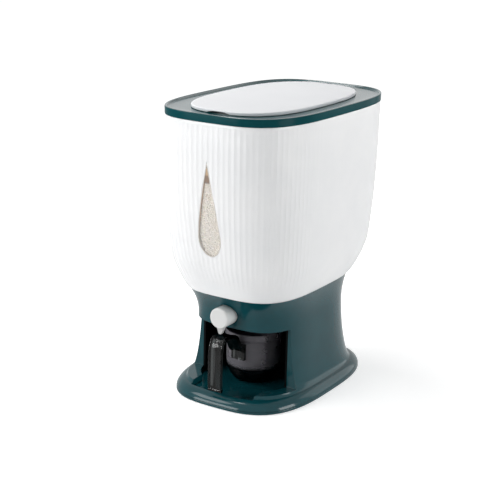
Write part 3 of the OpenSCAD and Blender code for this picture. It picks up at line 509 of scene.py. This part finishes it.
def window_look(name):
    """Warm clear plastic: see-through over the rice; above it tan, a painted shade of the tank's dark inside
    seen through the amber; and brown at the cut edge, partly painted shade.
    """
    mat, n = new_look(name)
    film_noise = n.noise(TINT_SCALE, 3)
    through = n.add("ShaderNodeBsdfTransparent", {
        "Color": n.mottle(film_noise, (0.99, 0.985, 0.975), (1.0, 0.995, 0.99))})
    # Tan above the rice is painted shade: the unlit inside of the tank seen through amber plastic, darkest in
    # a band just over the rice.
    tan = n.add("ShaderNodeBsdfDiffuse", {
        "Color": n.blend(n.above(RICE_TOP + 9, 3), (0.17, 0.085, 0.035), (0.47, 0.30, 0.15))})
    # Brown at the cut edge, paler low down: partly the plastic's deeper colour along its length, partly
    # painted shade of the tank's cut wall.
    brown = n.add("ShaderNodeBsdfDiffuse", {
        "Color": n.blend(n.above(RICE_TOP - 55, 25), (0.80, 0.74, 0.69), (0.80, 0.55, 0.38))})
    film = n.add("ShaderNodeBsdfDiffuse", {
        "Color": n.mottle(film_noise, (0.96, 0.915, 0.87), (0.99, 0.96, 0.93))})
    whole = n.cover(n.above(RICE_TOP, 5, 0.9), through.outputs["BSDF"], tan.outputs["BSDF"])
    whole = glazed(n, whole, (0.8, 0.8, 0.8), ior=1.35, rough=0.06, ripple=0.1)
    whole = n.cover(edge_shade_mask(n), whole, brown.outputs["BSDF"])
    n.finish(n.cover(0.15, whole, film.outputs["BSDF"]))
    return mat


def rice_look(name):
    """Polished rice: faintly translucent, with fine cells that break the heap up into grains."""
    mat, n = new_look(name)
    spot = n.add("ShaderNodeMapping", {"Vector": n.spot(), "Scale": (1, 1, 0.5)})
    cells = n.add("ShaderNodeTexVoronoi", {"Vector": spot.outputs["Vector"], "Scale": 330.0})
    shade = n.add("ShaderNodeBsdfPrincipled", {
        "Base Color": n.mottle(n.noise(260, 3), (0.94, 0.90, 0.83), (0.99, 0.98, 0.95)),
        "Roughness": n.span(n.noise(500, 3), 0.35, 0.55),
        "Normal": n.bump(cells.outputs["Distance"], 0.5, 0.0012),
        "Subsurface Weight": 0.15,
        "Subsurface Radius": (0.002, 0.0015, 0.001),
    })
    n.finish(shade.outputs["BSDF"])
    return mat


TEAL_DARK, TEAL_LIGHT = (0.0034, 0.048, 0.056), (0.0052, 0.062, 0.071)
TEAL_EDGE = 0.0008
WHITE = plastic("white gloss plastic", (0.80, 0.81, 0.82), (0.84, 0.845, 0.85), 0.24, 0.03, 0.05, shine=0.4)
COVER_WHITE = plastic("white satin plastic", (0.78, 0.79, 0.81), (0.81, 0.82, 0.84), 0.36, 0.05, 0.08,
                      shine=0.25)
KNOB_WHITE = plastic("white knob plastic", (0.64, 0.645, 0.64), (0.67, 0.675, 0.67), 0.24, 0.03, 0.05,
                     shine=0.35)
GREEN = plastic("teal gloss plastic", (0.0022, 0.046, 0.057), (0.0038, 0.060, 0.073), 0.13, 0.02, 0.04,
                TEAL_EDGE, shine=0.28)
LID_GREEN = plastic("teal lid plastic", TEAL_DARK, TEAL_LIGHT, 0.12, 0.02, 0.04, TEAL_EDGE, shine=0.74)
BAND_GREEN = plastic("teal band plastic", TEAL_DARK, TEAL_LIGHT, 0.16, 0.02, 0.04, TEAL_EDGE, shine=0.02)
# Near-black with faint gloss for the alcove liner: painted shade, a dark sheet standing in for the shadow
# inside the alcove.
ALCOVE_SHADE_BLACK = plastic("black alcove shade", (0.0010, 0.0016, 0.0018), (0.002, 0.003, 0.0035), 0.5, 0.06, 0.1, shine=0.04)
# The tongue's grey is painted shade on white knob plastic.
TONGUE = plastic("shaded grey plastic", (0.42, 0.42, 0.42), (0.46, 0.46, 0.46), 0.35, 0.04, 0.05, shine=0.3)
IVORY = plastic("ivory plastic", (0.70, 0.69, 0.63), (0.76, 0.75, 0.70), 0.42, 0.06, 0.1)
SEAL = plastic("grey seal", (0.56, 0.53, 0.50), (0.62, 0.59, 0.55), 0.5, 0.08, 0.2, 0.0002)
RUBBER = plastic("black rubber", (0.012, 0.012, 0.012), (0.02, 0.02, 0.02), 0.75, 0.08, 0.4, 0.0004)
STEEL = metal("bright steel", (0.62, 0.62, 0.64), 0.28)
AMBER = window_look("amber window")
SMOKE = clear("clear smoke plastic", (0.42, 0.42, 0.43), (1.0, 0.97, 1.0), face=0.03)
# The cup's grey layer above its foot is a painted reflection.
CUP_SMOKE = clear("smoke plastic with painted reflection", (0.42, 0.41, 0.45), (0.42, 0.40, 0.42), painted_reflection=0.27, reflection_from=36)
GRIP_SMOKE = clear("clear grip plastic", (0.40, 0.42, 0.42), (0.5, 0.5, 0.5))
RICE = rice_look("rice")

FINISH = {
    "white_plastic": WHITE, "green_plastic": GREEN, "amber_window": AMBER, "grey_seal": SEAL,
    "clear_smoke": SMOKE, "black_plastic": ALCOVE_SHADE_BLACK, "ivory_plastic": IVORY, "steel": STEEL,
    "black_rubber": RUBBER,
}


def finish_nodes():
    """Each CAD piece takes the material of its slot."""
    for part in frame["record"]["subparts"]:
        for spot in frame["nodes"][part["node"]].material_slots:
            spot.material = FINISH[part["material_slot"]]


def place(obj, mat, body, slot, *nodes):
    """Dress a piece, ride it on a body and let it stand for the CAD pieces that are named."""
    obj.data.materials.clear()
    obj.data.materials.append(mat)
    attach(obj, body)
    if nodes:
        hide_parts(*nodes)


# Tank, with its window and the rice
def groove(x):
    """Depth share of a hollow flute at a distance from its middle; the flutes meet at ridges."""
    x = abs((x + FLUTE_PITCH / 2) % FLUTE_PITCH - FLUTE_PITCH / 2)
    return 1 - (2 * x / FLUTE_PITCH) ** 2


def flute_share(s, reach):
    """Depth share of the flutes at an arc length from the front centre, fading out towards their reach."""
    if abs(s) > reach:
        return 0.0
    return clamp((reach - abs(s)) / (FLUTE_FADE * FLUTE_PITCH)) * groove(s - FLUTE_PITCH / 2)


def drop_half(share):
    """Half width of the drop-shaped window at a share of its height."""
    if share < DROP_SHARE:
        return WINDOW_HALF * math.sqrt(max(0, 1 - (1 - share / DROP_SHARE) ** 2))
    return WINDOW_HALF * (1 - ((share - DROP_SHARE) / (1 - DROP_SHARE)) ** DROP_POWER)


def drop_outline():
    """The outline of the window, as (x, z), with its points closer towards the foot."""
    count, bunching = 60, 1.7
    shares = [(i / count) ** bunching for i in range(count + 1)]
    right = [(drop_half(s), mix(WINDOW_LOW, WINDOW_LOW + WINDOW_H, s)) for s in shares]
    return right + [(-x, z) for x, z in right[-2:0:-1]]


def collar_profile():
    """The rim of the tank, which stands inside the lid frame, as (inset, height)."""
    inner, soft_in, soft_up, edge_in, run_down = COLLAR_INSET + COLLAR_W, 0.45, 0.4, 0.4, 8
    return [
        (edge_in, RIM_LOW), (COLLAR_INSET, RIM_LOW), (COLLAR_INSET, RIM_LOW + COLLAR_H - soft_up),
        (COLLAR_INSET + soft_in, RIM_LOW + COLLAR_H), (inner - soft_in, RIM_LOW + COLLAR_H),
        (inner, RIM_LOW + COLLAR_H - soft_up), (inner, RIM_LOW - run_down),
    ]


def make_tank():
    """The fluted shell, open at the top, with its window cut through the front."""
    line = Outline(RIM_OVAL)
    reach = FLUTES * FLUTE_PITCH
    flute_steps, plain_steps = 8, 96
    spots = [i * FLUTE_PITCH / flute_steps - reach for i in range(FLUTES * 2 * flute_steps)]
    spots += [reach + i * (line.length - 2 * reach) / plain_steps for i in range(plain_steps)]
    turns = [line.turn(s) for s in spots]
    shares = [flute_share(s, reach) for s in spots]
    round_top, round_rows, wall_rows, bunching = SEAM_Z + ROUND_H, 22, 26, 1.6
    rows = [SEAM_Z + ROUND_H * (i / round_rows) ** bunching for i in range(round_rows + 1)]
    last_rows = (4.5, 3.2, 0.6)
    rows += [mix(round_top, RIM_LOW - last_rows[0], (i + 1) / wall_rows) for i in range(wall_rows)]
    rows += [RIM_LOW - down for down in last_rows[1:]]
    foot_plain, foot_fade, rim_plain, rim_fade = 4.0, 0.8 * ROUND_H, 2.6, 2.2
    rings = []
    for z in rows:
        fade = smooth((z - SEAM_Z - foot_plain) / foot_fade) * smooth((RIM_LOW - rim_plain - z) / rim_fade)
        oval, depth = tank_oval(z), FLUTE_DEPTH * fade
        rings.append([oval_point(oval, depth * d, t, z) for d, t in zip(shares, turns)])
    rings += ring_stack(RIM_OVAL, turns, collar_profile())
    inside_top, inside_rows, round_shares = RIM_LOW - 20, 8, (0.7, 0.45, 0.25, 0.12, 0.07)
    inside = [mix(inside_top, round_top, i / inside_rows) for i in range(inside_rows + 1)]
    inside += [SEAM_Z + ROUND_H * share for share in round_shares]
    rings += [ring(tank_oval(z), TANK_WALL, turns, z) for z in inside]
    tank = loft("tank_body", rings, 50)
    cut_front, cut_rear = -270, -100
    join_cut(tank, prism("window_cut", drop_outline(), cut_front, cut_rear, "y"))
    finish_shading(tank, 50)
    place(tank, WHITE, "dispenser", "white_plastic", "tank_shell")


RICE_GAP, RICE_LEVELS = 1.4, (200, 215, 235, 255, 280, RICE_TOP - 3)
HEAP_SHARES = (0.97, 0.9, 0.78, 0.62, 0.44, 0.25, 0.1)
GRAINS, GRAIN_LENGTH, GRAIN_R = 1500, 5.6, 0.95


def grain_mesh():
    """Points and faces of a slim rice grain, with its long axis along X."""
    rows, sides, half, fullness = 6, 6, GRAIN_LENGTH / 2, 0.7
    verts, faces = [(-half, 0, 0)], []
    for i in range(1, rows):
        turn = math.pi * i / rows
        around = circle(GRAIN_R * math.sin(turn) ** fullness, sides)
        verts += [(-half * math.cos(turn), y, z) for y, z in around]
    verts.append((half, 0, 0))
    tip, last_row = len(verts) - 1, 1 + (rows - 2) * sides
    for j in range(sides):
        k = (j + 1) % sides
        faces.append((0, 1 + k, 1 + j))
        for i in range(rows - 2):
            a, b = 1 + i * sides, 1 + (i + 1) * sides
            faces.append((a + j, a + k, b + k, b + j))
        faces.append((tip, last_row + j, last_row + k))
    return verts, faces


def make_heap():
    """The filling of rice, with an uneven top."""
    turns = Outline(RIM_OVAL, 360).even(96)
    rings = [ring(tank_oval(z), TANK_WALL + RICE_GAP, turns, z) for z in RICE_LEVELS]
    shore, lowest, rise, rough = rings[-1], RICE_TOP - 2, 3, 0.8
    for share in HEAP_SHARES:
        middle = lowest + rise * (1 - share)
        rings.append([(x * share, y * share, middle + RNG.uniform(-rough, rough)) for x, y, z in shore])
    place(loft("rice_fill", rings, 60), RICE, "dispenser", "ivory_plastic")


def make_grains():
    """Loose grains, packed behind the window up to a wavy top."""
    grain_verts, grain_faces = grain_mesh()
    low, high = WINDOW_LOW - 4, RICE_TOP + 3
    least_half, side_room = 3.0, 3.5
    wave, wave_rate, top_room = 1.5, 0.4, 1.0
    front_gap, depth, tilt = 0.4, 1.8, 0.35
    least, most = 0.82, 1.12
    verts, faces, made = [], [], 0
    while made < GRAINS:
        z = RNG.uniform(low, high)
        half = max(drop_half(clamp((z - WINDOW_LOW) / WINDOW_H)), least_half) + side_room
        x = RNG.uniform(-half, half)
        if z > RICE_TOP + wave * math.sin(x * wave_rate) + top_room:
            continue
        y = tank_front(x, z) + TANK_WALL + front_gap + RNG.uniform(0, depth)
        turn = Matrix.Rotation(RNG.gauss(0, tilt), 3, "X") @ Matrix.Rotation(RNG.uniform(0, math.pi), 3, "Y")
        size = RNG.uniform(least, most)
        first = len(verts)
        verts += [tuple(turn @ (Vector(v) * size) + Vector((x, y, z))) for v in grain_verts]
        faces += [tuple(first + i for i in face) for face in grain_faces]
        made += 1
    place(new_object("rice_grains", verts, faces, 180), RICE, "dispenser", "ivory_plastic")


# Lid and cover
def lid_profile():
    """The outside of the lid frame and its raised edge, as (inset, height)."""
    step, round_r, lip_in = 0.5, 1.0, 2.3
    top = RIM_TOP - round_r
    profile = [(BAND_WALL, FRAME_LOW), (BAND_WALL, RIM_LOW), (step, RIM_LOW)]
    profile += [(0.0, RIM_LOW + step), (0.0, top)]
    profile += [(round_r + a, b) for a, b in arc((0, top), round_r, 165, 90, 4)]
    profile += [(lip_in, RIM_TOP)]
    profile += [(lip_in + a, b) for a, b in arc((0, top), round_r, 75, 15, 4)]
    return profile + [(3.9, LEDGE + 0.7), (4.4, LEDGE + 0.2), (5.6, LEDGE)]


def hole_profile():
    """The lid frame round its filling hole, with the lip under it, as (inset, height)."""
    lip_low, sag_end, soft, edge_in, edge_up = FRAME_LOW - FRAME_LIP_H, 4.0, 0.6, 0.4, 0.3
    return [
        (-sag_end, LEDGE), (-soft, LEDGE), (0, LEDGE - soft), (0, lip_low + edge_up), (-edge_in, lip_low),
        (-FRAME_LIP_W, lip_low), (-FRAME_LIP_W, FRAME_LOW),
    ]


def make_ear(side):
    """One of the two ears that carry the hinge pin."""
    x = side * (KNUCKLE_L / 2 + EAR_GAP + EAR_T / 2)
    foot = HINGE_Z - TROUGH_R - OVER
    outline = arc((HINGE_Y, HINGE_Z), EAR_R, 0, 180, 16)
    outline += [(HINGE_Y - EAR_R, foot), (HINGE_Y + EAR_WEB, foot), (HINGE_Y + EAR_WEB, HINGE_Z - EAR_SIDE)]
    return prism("ear", outline, x - EAR_T / 2, x + EAR_T / 2, "x")


def make_lid():
    """The lid frame: a hoop with a ledge, a trough for the hinge and two ears."""
    turns = Outline(LID_OVAL).even(256)
    sag, shell_sunk, upright, band_share = 0.25, 0.3, 0.5, 0.97
    rings = ring_stack(LID_OVAL, turns, lid_profile())
    rings.append(ring(mix(LID_OVAL, HOLE_OVAL, 0.5), 0, turns, LEDGE - sag))
    rings += ring_stack(HOLE_OVAL, turns, hole_profile())
    lid = loft("lid_ring", rings, 40, hoop=True)
    shell_r, shell_top, shell_end = TROUGH_R + TROUGH_WALL, LEDGE - shell_sunk, TROUGH_L / 2 + TROUGH_WALL
    outline = [(HINGE_Y - shell_r, shell_top)] + arc((HINGE_Y, HINGE_Z), shell_r, 180, 360, 32)
    outline += [(HINGE_Y + shell_r, shell_top)]
    join_cut(lid, prism("trough_shell", outline, -shell_end, shell_end, "x"), "UNION")
    join_cut(lid, round_bar("trough_bore", TROUGH_R, TROUGH_L, (0, HINGE_Y, HINGE_Z)))
    finish_shading(lid, 40)
    whole = merge("lid_top", [lid, make_ear(-1), make_ear(1)], 40)
    place(whole, LID_GREEN, "lid", "green_plastic", "lid_frame")
    whole.data.materials.append(BAND_GREEN)
    for face in whole.data.polygons:
        x, y = abs(face.center.x) / MM / LID_OVAL[0], abs(face.center.y) / MM / LID_OVAL[1]
        if abs(face.normal.z) < upright and x ** RIM_POWER + y ** RIM_POWER > band_share:
            face.material_index = 1


def make_slab(turns):
    """The top of the cover, with a soft edge and a finger notch under its front."""
    round_r, crown = 1.5, TOTAL_H - 1.6
    profile = [(0.5, COVER_LOW), (0.15, COVER_LOW + 0.1), (0, COVER_LOW + 0.4), (0, TOTAL_H - 1.7)]
    profile += [(round_r + a, b) for a, b in arc((0, crown), round_r, 170, 95, 6)]
    profile += [(3.2, TOTAL_H - 0.04), (10.0, TOTAL_H)]
    slab = loft("cover_slab", ring_stack(COVER_OVAL, turns, profile), 50)
    notch_r, notch_rise, notch_l = 56.9, 2.6, 8.0
    front = -COVER_L / 2 - COVER_SHIFT
    centre = (0, front + notch_l / 2, COVER_LOW + notch_rise - notch_r)
    join_cut(slab, round_bar("notch", notch_r, notch_l, centre, "y", 240))
    finish_shading(slab, 40)
    return slab


def make_plug(turns):
    """The skirt under the cover, which closes the filling hole and carries the seal."""
    seal_w, wall, depth, soft = 1.2, 2.4, 5.5, 0.4
    inset, low = PART_GAP + seal_w, COVER_LOW - depth
    oval = (HOLE_OVAL[0] - inset, HOLE_OVAL[1] - inset, HOLE_OVAL[2], HOLE_OVAL[3])
    profile = [(0, COVER_LOW + OVER), (0, low + soft), (soft, low)]
    profile += [(wall - soft, low), (wall, low + soft), (wall, COVER_LOW + OVER)]
    return loft("plug", ring_stack(oval, turns, profile), 40, hoop=True)


def make_cover():
    """The flip cover, with its plug and the knuckle of its hinge."""
    turns = Outline(COVER_OVAL).even(256)
    outline = arc((HINGE_Y, HINGE_Z), KNUCKLE_R, 180, 360, 24)
    outline += [(HINGE_Y + KNUCKLE_R, COVER_LOW + OVER), (HINGE_Y - KNUCKLE_R, COVER_LOW + OVER)]
    knuckle = prism("knuckle", outline, -KNUCKLE_L / 2, KNUCKLE_L / 2, "x")
    cover = merge("cover_top", [make_slab(turns), make_plug(turns), knuckle], 40)
    place(cover, COVER_WHITE, "cover", "white_plastic", "flip_cover")


# Base
def base_levels():
    """Heights of the rings of the base, closer where it curves more."""
    slab_rows, slab_bunching, flare_rows, flare_bunching, crown_rows = 12, 1.9, 24, 1.7, 12
    slab, flare = SLAB_H - PLATE_TOP, WAIST_H - SLAB_H
    levels = [PLATE_TOP + slab * (1 - (1 - i / slab_rows) ** slab_bunching) for i in range(slab_rows + 1)]
    levels += [SLAB_H + flare * (i / flare_rows) ** flare_bunching for i in range(1, flare_rows + 1)]
    return levels + [mix(WAIST_H, SEAM_Z, i / crown_rows) for i in range(1, crown_rows + 1)]


def make_base():
    """The foot and neck in one hollow moulding, with the alcove, the front recess and the knob's hole."""
    turns = Outline(FOOT_OVAL).even(264)
    base = loft("base_body", [ring(base_oval(z), 0, turns, z) for z in base_levels()], 60)
    join_cut(base, prism("neck_room", flat_ring(WAIST_OVAL, BASE_WALL, 200), FLOOR_H, DECK_LOW))
    room_half, room_front = 110, 150
    front_room = box("front_room", (-room_half, -room_front, LEDGE_H), (room_half, -ALCOVE_FRONT, ALCOVE_TOP))
    join_cut(base, front_room)
    side, skin = RECESS_W / 2, 0.01
    bow = flat_ring((FOOT_OVAL[0], RECESS_FRONT, 0, FOOT_POWER), 0, 400)
    recess = sorted((x, y) for x, y in bow if abs(x) < side and y < 0)
    recess += [(side, -RECESS_REAR), (-side, -RECESS_REAR)]
    join_cut(base, prism("recess", recess, FLOOR_H + skin, LEDGE_H + OVER))
    hole_room, hole_l, hole_y = 0.5, 30, -112
    join_cut(base, round_bar("knob_hole", KNOB_R + hole_room, hole_l, (0, hole_y, KNOB_H), "y"))
    finish_shading(base, 32)
    place(base, GREEN, "dispenser", "green_plastic", "base_shell")


def make_plate():
    """The bottom cover, whose edge shows as a thin rim with a groove over it."""
    turns = Outline(FOOT_OVAL).even(264)
    groove_low, groove_in = PLATE_TOP - 0.4, 1.0
    profile = [
        (1.6, FOOT_GAP), (0.3, FOOT_GAP + 0.2), (0, FOOT_GAP + 0.8), (0, groove_low - 0.4),
        (0.2, groove_low - 0.1), (groove_in, groove_low), (groove_in, PLATE_TOP),
    ]
    plate = loft("base_rim", ring_stack(FOOT_OVAL, turns, profile), 40)
    place(plate, GREEN, "dispenser", "green_plastic", "base_plate")


# Knob
NECK_FRONT, KNOB_REACH, KNOB_SLACK, KNOB_WALL, KNOB_FRONT_WALL = 106.4, 22.0, 0.9, 3.0, 4.0
BUSH_GAP, BUSH_L = 0.4, 11.0
BUSH_SEAT = WAIST_L / 2 - BASE_WALL - BUSH_GAP - BUSH_L
TONGUE_INSET, TONGUE_T = 4.0, 5.0


def make_knob():
    """The hollow knob, with a slightly dished face."""
    rear, face = BUSH_SEAT + KNOB_TRAVEL + KNOB_SLACK, NECK_FRONT + KNOB_REACH
    reach, bore, soft, round_r = face - rear, KNOB_R - KNOB_WALL, 0.4, 2.2
    cavity = reach - KNOB_FRONT_WALL
    profile = [(LATHE_TIP, cavity), (bore, cavity), (bore, 0), (bore + soft, 0), (KNOB_R - soft, 0)]
    profile += [(KNOB_R, 0.5), (KNOB_R, reach - round_r)]
    profile += arc((KNOB_R - round_r, reach - round_r), round_r, 8, 86, 7)
    profile += [(6.0, reach - 0.12), (LATHE_TIP, reach - 0.2)]
    knob = loft("knob_cap", lathe_rings(profile, 72, lambda x, y, along: (x, -rear - along, KNOB_H + y)), 40)
    place(knob, KNOB_WHITE, "plunger", "white_plastic", "push_knob")


def make_tongue():
    """The small tongue that hangs from the knob, its white plastic painted grey as shade."""
    face, root = NECK_FRONT + KNOB_REACH, KNOB_H - KNOB_R
    right = [(0, root - 8.5), (1.2, root - 8.3), (2.2, root - 7.4), (5.5, root + 1.0)]
    outline = [(-x, z) for x, z in right[:0:-1]] + right
    tongue = prism("tongue", outline, TONGUE_INSET - face, TONGUE_INSET + TONGUE_T - face, "y")
    place(tongue, TONGUE, "plunger", "white_plastic", "push_knob")


def make_spring():
    """The spring of the knob, a copy of the CAD spring that rides with the knob."""
    node = frame["nodes"]["return_spring"]
    spring = link_object("coil_spring", node.data.copy())
    spring.matrix_world = node.matrix_world.copy()
    place(spring, STEEL, "plunger", "steel", "return_spring")
    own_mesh(spring)


# Cup and its handle
CUP_OUTSIDE = [
    (LATHE_TIP, 0), (20.0, 0), (23.2, 0.5), (26.2, 2.4), (29.2, 6.0), (32.2, 11.0), (34.4, 17.5), (35.5, 24),
    (CUP_BODY_R, 31), (CUP_BODY_R, 60.2), (36.1, 61.2), (37.3, 62.2), (37.9, 63.0), (38.0, 64.2),
    (38.0, 69.8), (37.7, 70.6), (37.0, CUP_H),
]
CUP_INSIDE = [
    (36.4, 70.8), (36.0, 70.2), (36.0, 64.4), (35.6, 63.2), (34.2, 61.8), (33.91, 60.6), (33.91, 31.2),
    (33.5, 24.4), (32.4, 18.2), (30.2, 12), (27.2, 7.4), (24.4, 4.2), (20, 2.4), (LATHE_TIP, 2.2),
]
HANDLE_PATH_SHARES = [
    (-0.08, 0.69), (0.12, 0.72), (0.228, 0.9), (0.383, 1.08), (0.66, 1.12), (0.892, 1.11), (0.985, 0.98),
    (0.992, 0.75), (1, 0.45), (1, 0.2), (0.977, 0.13),
]
STRAP_HALF, RIB_W, RIB_T, WEB_T = 9.8, 2.0, 2.5, 1.4
PAD_OUT, PAD_IN, PAD_LOW, PAD_TOP = 38.9, 33.0, 36.9, 58.2


def make_cup():
    """The clear cup, turned from its outside and inside outlines, which are (radius, height)."""
    rings = lathe_rings(CUP_OUTSIDE + CUP_INSIDE, 96, lambda x, y, along: (x, CUP_Y + y, CUP_Z + along))
    place(loft("cup_glass", rings, 60), CUP_SMOKE, "cup", "clear_smoke", "cup_body")


def handle_line():
    """The middle of the strap, as (reach, height) on a smooth curve past its guides."""
    steps = 10
    guides = [Vector((mix(CUP_BODY_R, HANDLE_REACH, a), b * CUP_H)) for a, b in HANDLE_PATH_SHARES]
    points = []
    for before, guide, after in zip(guides, guides[1:], guides[2:]):
        start, end = (before + guide) / 2, (guide + after) / 2
        for k in range(steps):
            s = k / steps
            points.append(start.lerp(guide, s).lerp(guide.lerp(end, s), s))
    return points + [(guides[-2] + guides[-1]) / 2]


def strap_section():
    """An H-shaped section: a thin web with a raised rib along each edge, as (across, thickness)."""
    soft, side = 0.3, STRAP_HALF - RIB_W
    rib = [
        (STRAP_HALF, RIB_T - soft), (STRAP_HALF - 0.4, RIB_T), (side + 0.4, RIB_T),
        (side, RIB_T - soft), (side, WEB_T + 0.2), (side - soft, WEB_T),
    ]
    front = [(-x, -t) for x, t in rib] + [(x, -t) for x, t in reversed(rib)]
    return front + [(x, -t) for x, t in reversed(front)]


def make_handle():
    """The strap handle, with its rounded end and the pad that joins it to the cup."""
    line, section = handle_line(), strap_section()
    rings = []
    for i, p in enumerate(line):
        way = (line[min(len(line) - 1, i + 1)] - line[max(0, i - 1)]).normalized()
        out, up = -way.y, way.x
        rings.append([(x, CUP_Y - (p.x + out * t), CUP_Z + p.y + up * t) for x, t in section])
    strap = loft("strap", rings, 40)
    end = line[-1]
    tip = round_bar("tip", RIB_T, 2 * STRAP_HALF, (0, CUP_Y - end.x, CUP_Z + end.y))
    pad_low = (-STRAP_HALF, CUP_Y - PAD_OUT, CUP_Z + PAD_LOW)
    pad_high = (STRAP_HALF, CUP_Y - PAD_IN, CUP_Z + PAD_TOP)
    pad = box("pad", pad_low, pad_high)
    seat_gap, wall_h, wall_z = 0.04, 60, 45
    join_cut(pad, round_bar("wall", CUP_BODY_R + seat_gap, wall_h, (0, CUP_Y, CUP_Z + wall_z), "z", 96))
    place(merge("cup_grip", [strap, tip, pad], 40), GRIP_SMOKE, "cup", "clear_smoke", "cup_handle")


# Stage and light, in metres and watts
FLOOR_HALF, FLOOR_MIRRORED, WORLD_FILL = 9.0, 0.85, 0.032
GLOW_NEAR, GLOW_FAR, GLOW_LOW = 0.15, 1.3, 0.6
LAMP_TARGET = Vector((0, 0, 0.2))
LAMPS = [
    # Name, power, width and height, place, whether gloss mirrors it
    ("front_box", 23.4, (1.2, 0.8), (-0.86, -1.7, 0.5), True),
    ("key_box", 10.5, (0.8, 0.35), (-0.5, -0.02, 1.52), True),
    ("low_key_box", 6.5, (0.7, 0.5), (-0.95, -0.75, 1.25), True),
    ("right_box", 22.8, (1.0, 0.9), (1.965, 0.24, 0.478), True),
    ("left_rear_box", 4, (1.2, 1.4), (-1.242, 1.48, 0.718), False),
    ("right_rear_box", 6, (1.2, 1.4), (0.966, 1.673, 0.718), True),
]


def make_floor():
    """A pale floor that grows white away from the object and keeps its shadow, and is plain in mirrors."""
    mesh = bpy.data.meshes.new("floor")
    corners = [(-1, -1), (1, -1), (1, 1), (-1, 1)]
    mesh.from_pydata([(x * FLOOR_HALF, y * FLOOR_HALF, 0) for x, y in corners], [], [(0, 1, 2, 3)])
    floor = link_object("floor", mesh)
    mat, n = new_look("pale floor")
    floor.data.materials.append(mat)
    dull = n.add("ShaderNodeBsdfDiffuse", {
        "Color": n.mottle(n.noise(3, 2), (0.87, 0.87, 0.87), (0.88, 0.88, 0.88))})
    away = n.add("ShaderNodeVectorMath", {0: n.spot()}, operation="LENGTH").outputs["Value"]
    inputs = {"Value": away, "From Min": GLOW_NEAR, "From Max": GLOW_FAR, "To Min": GLOW_LOW, "To Max": 1.0}
    rise = n.add("ShaderNodeMapRange", inputs, interpolation_type="SMOOTHSTEP").outputs["Result"]
    power = n.add("ShaderNodeMath", {0: n.seen_ray(), 1: rise}, operation="MULTIPLY").outputs["Value"]
    glow = n.add("ShaderNodeEmission", {"Strength": power}).outputs["Emission"]
    seen = n.add("ShaderNodeAddShader", {0: dull.outputs["BSDF"], 1: glow}).outputs["Shader"]
    plain = n.add("ShaderNodeEmission", {"Strength": FLOOR_MIRRORED}).outputs["Emission"]
    n.finish(n.cover(n.add("ShaderNodeLightPath").outputs["Is Glossy Ray"], seen, plain))


def make_world():
    """White to the camera, in gloss and through clear plastic, and a faint fill elsewhere."""
    world = bpy.data.worlds.new("studio")
    bpy.context.scene.world = world
    world.use_nodes = True
    n = Nodes(world.node_tree, "ShaderNodeOutputWorld")
    level = n.add("ShaderNodeMapRange", {"Value": n.seen_ray(), "To Min": WORLD_FILL, "To Max": 1.0})
    sky = n.add("ShaderNodeBackground", {"Color": (1, 1, 1, 1), "Strength": level.outputs["Result"]})
    n.finish(sky.outputs["Background"])


def make_lamp(name, power, size, at, mirrored):
    data = bpy.data.lights.new(name, "AREA")
    data.shape = "RECTANGLE"
    data.size, data.size_y = size
    data.energy = power
    lamp = link_object(name, data)
    lamp.visible_glossy = mirrored
    lamp.location = at
    lamp.rotation_euler = (LAMP_TARGET - Vector(at)).to_track_quat("-Z", "Y").to_euler()


make_camera()
finish_nodes()
make_tank()
make_heap()
make_grains()
make_lid()
make_cover()
make_base()
make_plate()
make_knob()
make_tongue()
make_spring()
make_cup()
make_handle()
make_floor()
make_world()
for lamp in LAMPS:
    make_lamp(*lamp)

bpy.context.scene.view_settings.view_transform = "Standard"
